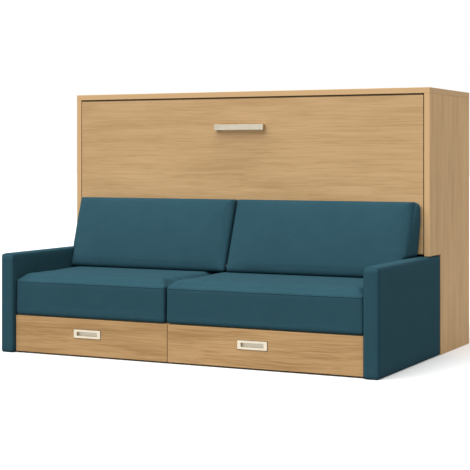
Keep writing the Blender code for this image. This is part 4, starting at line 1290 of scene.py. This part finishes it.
@dataclass
class Drawers:
    """The two wide drawers under the seat, with their recessed pulls and rails."""

    front_ease: float = 0.0010
    box_ease: float = 0.0008
    pull_ease: float = 0.0005
    rail_ease: float = 0.0006
    figure_shift: float = 5.2
    # Depth behind the pull's face where the painted shade of its slot begins.
    recess_shade_start: float = 0.0012
    # Width and height of the dark ring that stands for the plate's shadow.
    shadow_ring_width: float = 0.0016
    shadow_ring_stand: float = 0.0008

    def build(self, finishes: Finishes) -> None:
        """Dresses both drawers and their rails."""
        nickel = Metal(
            "pull_champagne",
            (0.660, 0.590, 0.470),
            (0.590, 0.520, 0.400),
            1.0,
            0.42,
            Axis.X,
            700.0,
            # The pull's slot behind its face takes painted shade.
            recess_shade=(0.470, 0.425, 0.345),
            recess_shade_from=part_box("drawer_left_pull")[0].y + self.recess_shade_start,
        ).make()
        shadow_ring = finishes.shadow_ring.make()
        rails = finishes.rail.make()
        sides = Birch("birch_drawer_sides", Axis.Y, Axis.X).make()
        backs = Birch("birch_drawer_backs", Axis.X, Axis.Y).make()
        bottoms = Birch("birch_drawer_bottoms", Axis.X, Axis.Z).make()
        for index, side in enumerate(SIDES):
            body = f"drawer_{side}"
            shift = self.figure_shift + index
            # The drawer fronts take the darker copy of the oak, painted shade.
            front = Oak(f"oak_drawer_front_{side}", Axis.X, Axis.Y, shift, OakTone.DRAWER).make()
            rail_pair = [f"drawer_rail_{side}_outer", f"drawer_rail_{side}_inner"]
            dress([f"{body}_front"], front, body, self.front_ease)
            dress([f"{body}_pull"], nickel, body, self.pull_ease)
            # A dark ring round the plate: painted shadow.
            self.build_shadow_ring(body, shadow_ring)
            dress(both(f"{body}_side"), sides, body, self.box_ease)
            dress([f"{body}_back"], backs, body, self.box_ease)
            dress([f"{body}_bottom"], bottoms, body, self.box_ease)
            dress(rail_pair, rails, "root", self.rail_ease)

    def build_shadow_ring(self, body: str, material: bpy.types.Material) -> None:
        """Lays a thin dark ring round a pull's plate, on the drawer's front, as painted shadow round the
        plate.
        """
        low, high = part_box(f"{body}_pull")
        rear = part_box(f"{body}_front")[0].y - FACE_GAP
        shape = bmesh.new()
        loops = []
        for gap in (FACE_GAP, FACE_GAP + self.shadow_ring_width):
            places = rectangle((low.x - gap, low.z - gap), (high.x + gap, high.z + gap))
            verts = [shape.verts.new((x, rear, z)) for x, z in places]
            loops += [shape.edges.new((verts[i - 1], vert)) for i, vert in enumerate(verts)]
        bmesh.ops.bridge_loops(shape, edges=loops)
        pulled = bmesh.ops.extrude_face_region(shape, geom=shape.faces[:])
        extruded(shape, pulled, (0.0, -self.shadow_ring_stand, 0.0))
        settle(object_from(f"{body}_pull_shadow_ring", shape, material), body)


@dataclass
class Studio:
    """The camera, the soft light and the white floor."""

    camera_place: tuple[float, float, float] = (3.3084, -6.7198, 1.0348)
    camera_turn: float = math.radians(26.426)
    camera_drop: float = -0.1666
    camera_reach: float = 200.0
    lens: float = 105.725
    sensor: float = 36.0
    sky: float = 0.58
    sun: float = 3.4
    sun_from: tuple[float, float, float] = (-0.22, -0.43, 0.87)
    sun_spread: float = math.radians(80.0)
    floor_size: float = 60.0

    def build(self) -> None:
        """Sets the camera, the lights and the floor."""
        self.build_camera()
        self.build_lights()
        shape = bmesh.new()
        bmesh.ops.create_grid(shape, x_segments=1, y_segments=1, size=self.floor_size)
        floor = object_from("studio_floor", shape, PaleFloor("pale_floor").make())
        bpy.context.scene.view_settings.view_transform = "Standard"

    def build_camera(self) -> None:
        """Places a level camera, dropped in its frame so that uprights stay upright."""
        camera = bpy.data.cameras.new("studio_camera")
        camera.lens = self.lens
        camera.sensor_width = self.sensor
        camera.sensor_fit = "HORIZONTAL"
        camera.shift_y = self.camera_drop
        camera.clip_end = self.camera_reach
        carrier = placed("studio_camera", camera)
        carrier.location = self.camera_place
        carrier.rotation_euler = (math.pi / 2.0, 0.0, self.camera_turn)
        bpy.context.scene.camera = carrier

    def build_lights(self) -> None:
        """Sets a wide sun and a world that is white for the eye and softer on the object."""
        sun = bpy.data.lights.new("soft_sun", "SUN")
        sun.energy = self.sun
        sun.angle = self.sun_spread
        carrier = placed("soft_sun", sun)
        carrier.rotation_euler = Vector(self.sun_from).to_track_quat("Z", "Y").to_euler()
        world = bpy.data.worlds.new("pale_studio")
        recipe = Recipe(world)
        backdrop = recipe.nodes["Background"].inputs
        recipe.feed(backdrop["Color"], (1.0, 1.0, 1.0))
        recipe.feed(backdrop["Strength"], recipe.span(recipe.seen(), 0.0, 1.0, self.sky, 1.0))
        bpy.context.scene.world = world


def main() -> None:
    """Builds the studio and every sub-assembly in order."""
    logging.basicConfig(level=logging.INFO, format="%(message)s")
    finishes = Finishes()
    Studio().build()
    for assembly in (Cabinet(), Bed(), Struts(), Sofa(), Drawers()):
        assembly.build(finishes)
        LOG.info("%s is built", type(assembly).__name__)


if __name__ == "__main__":
    main()
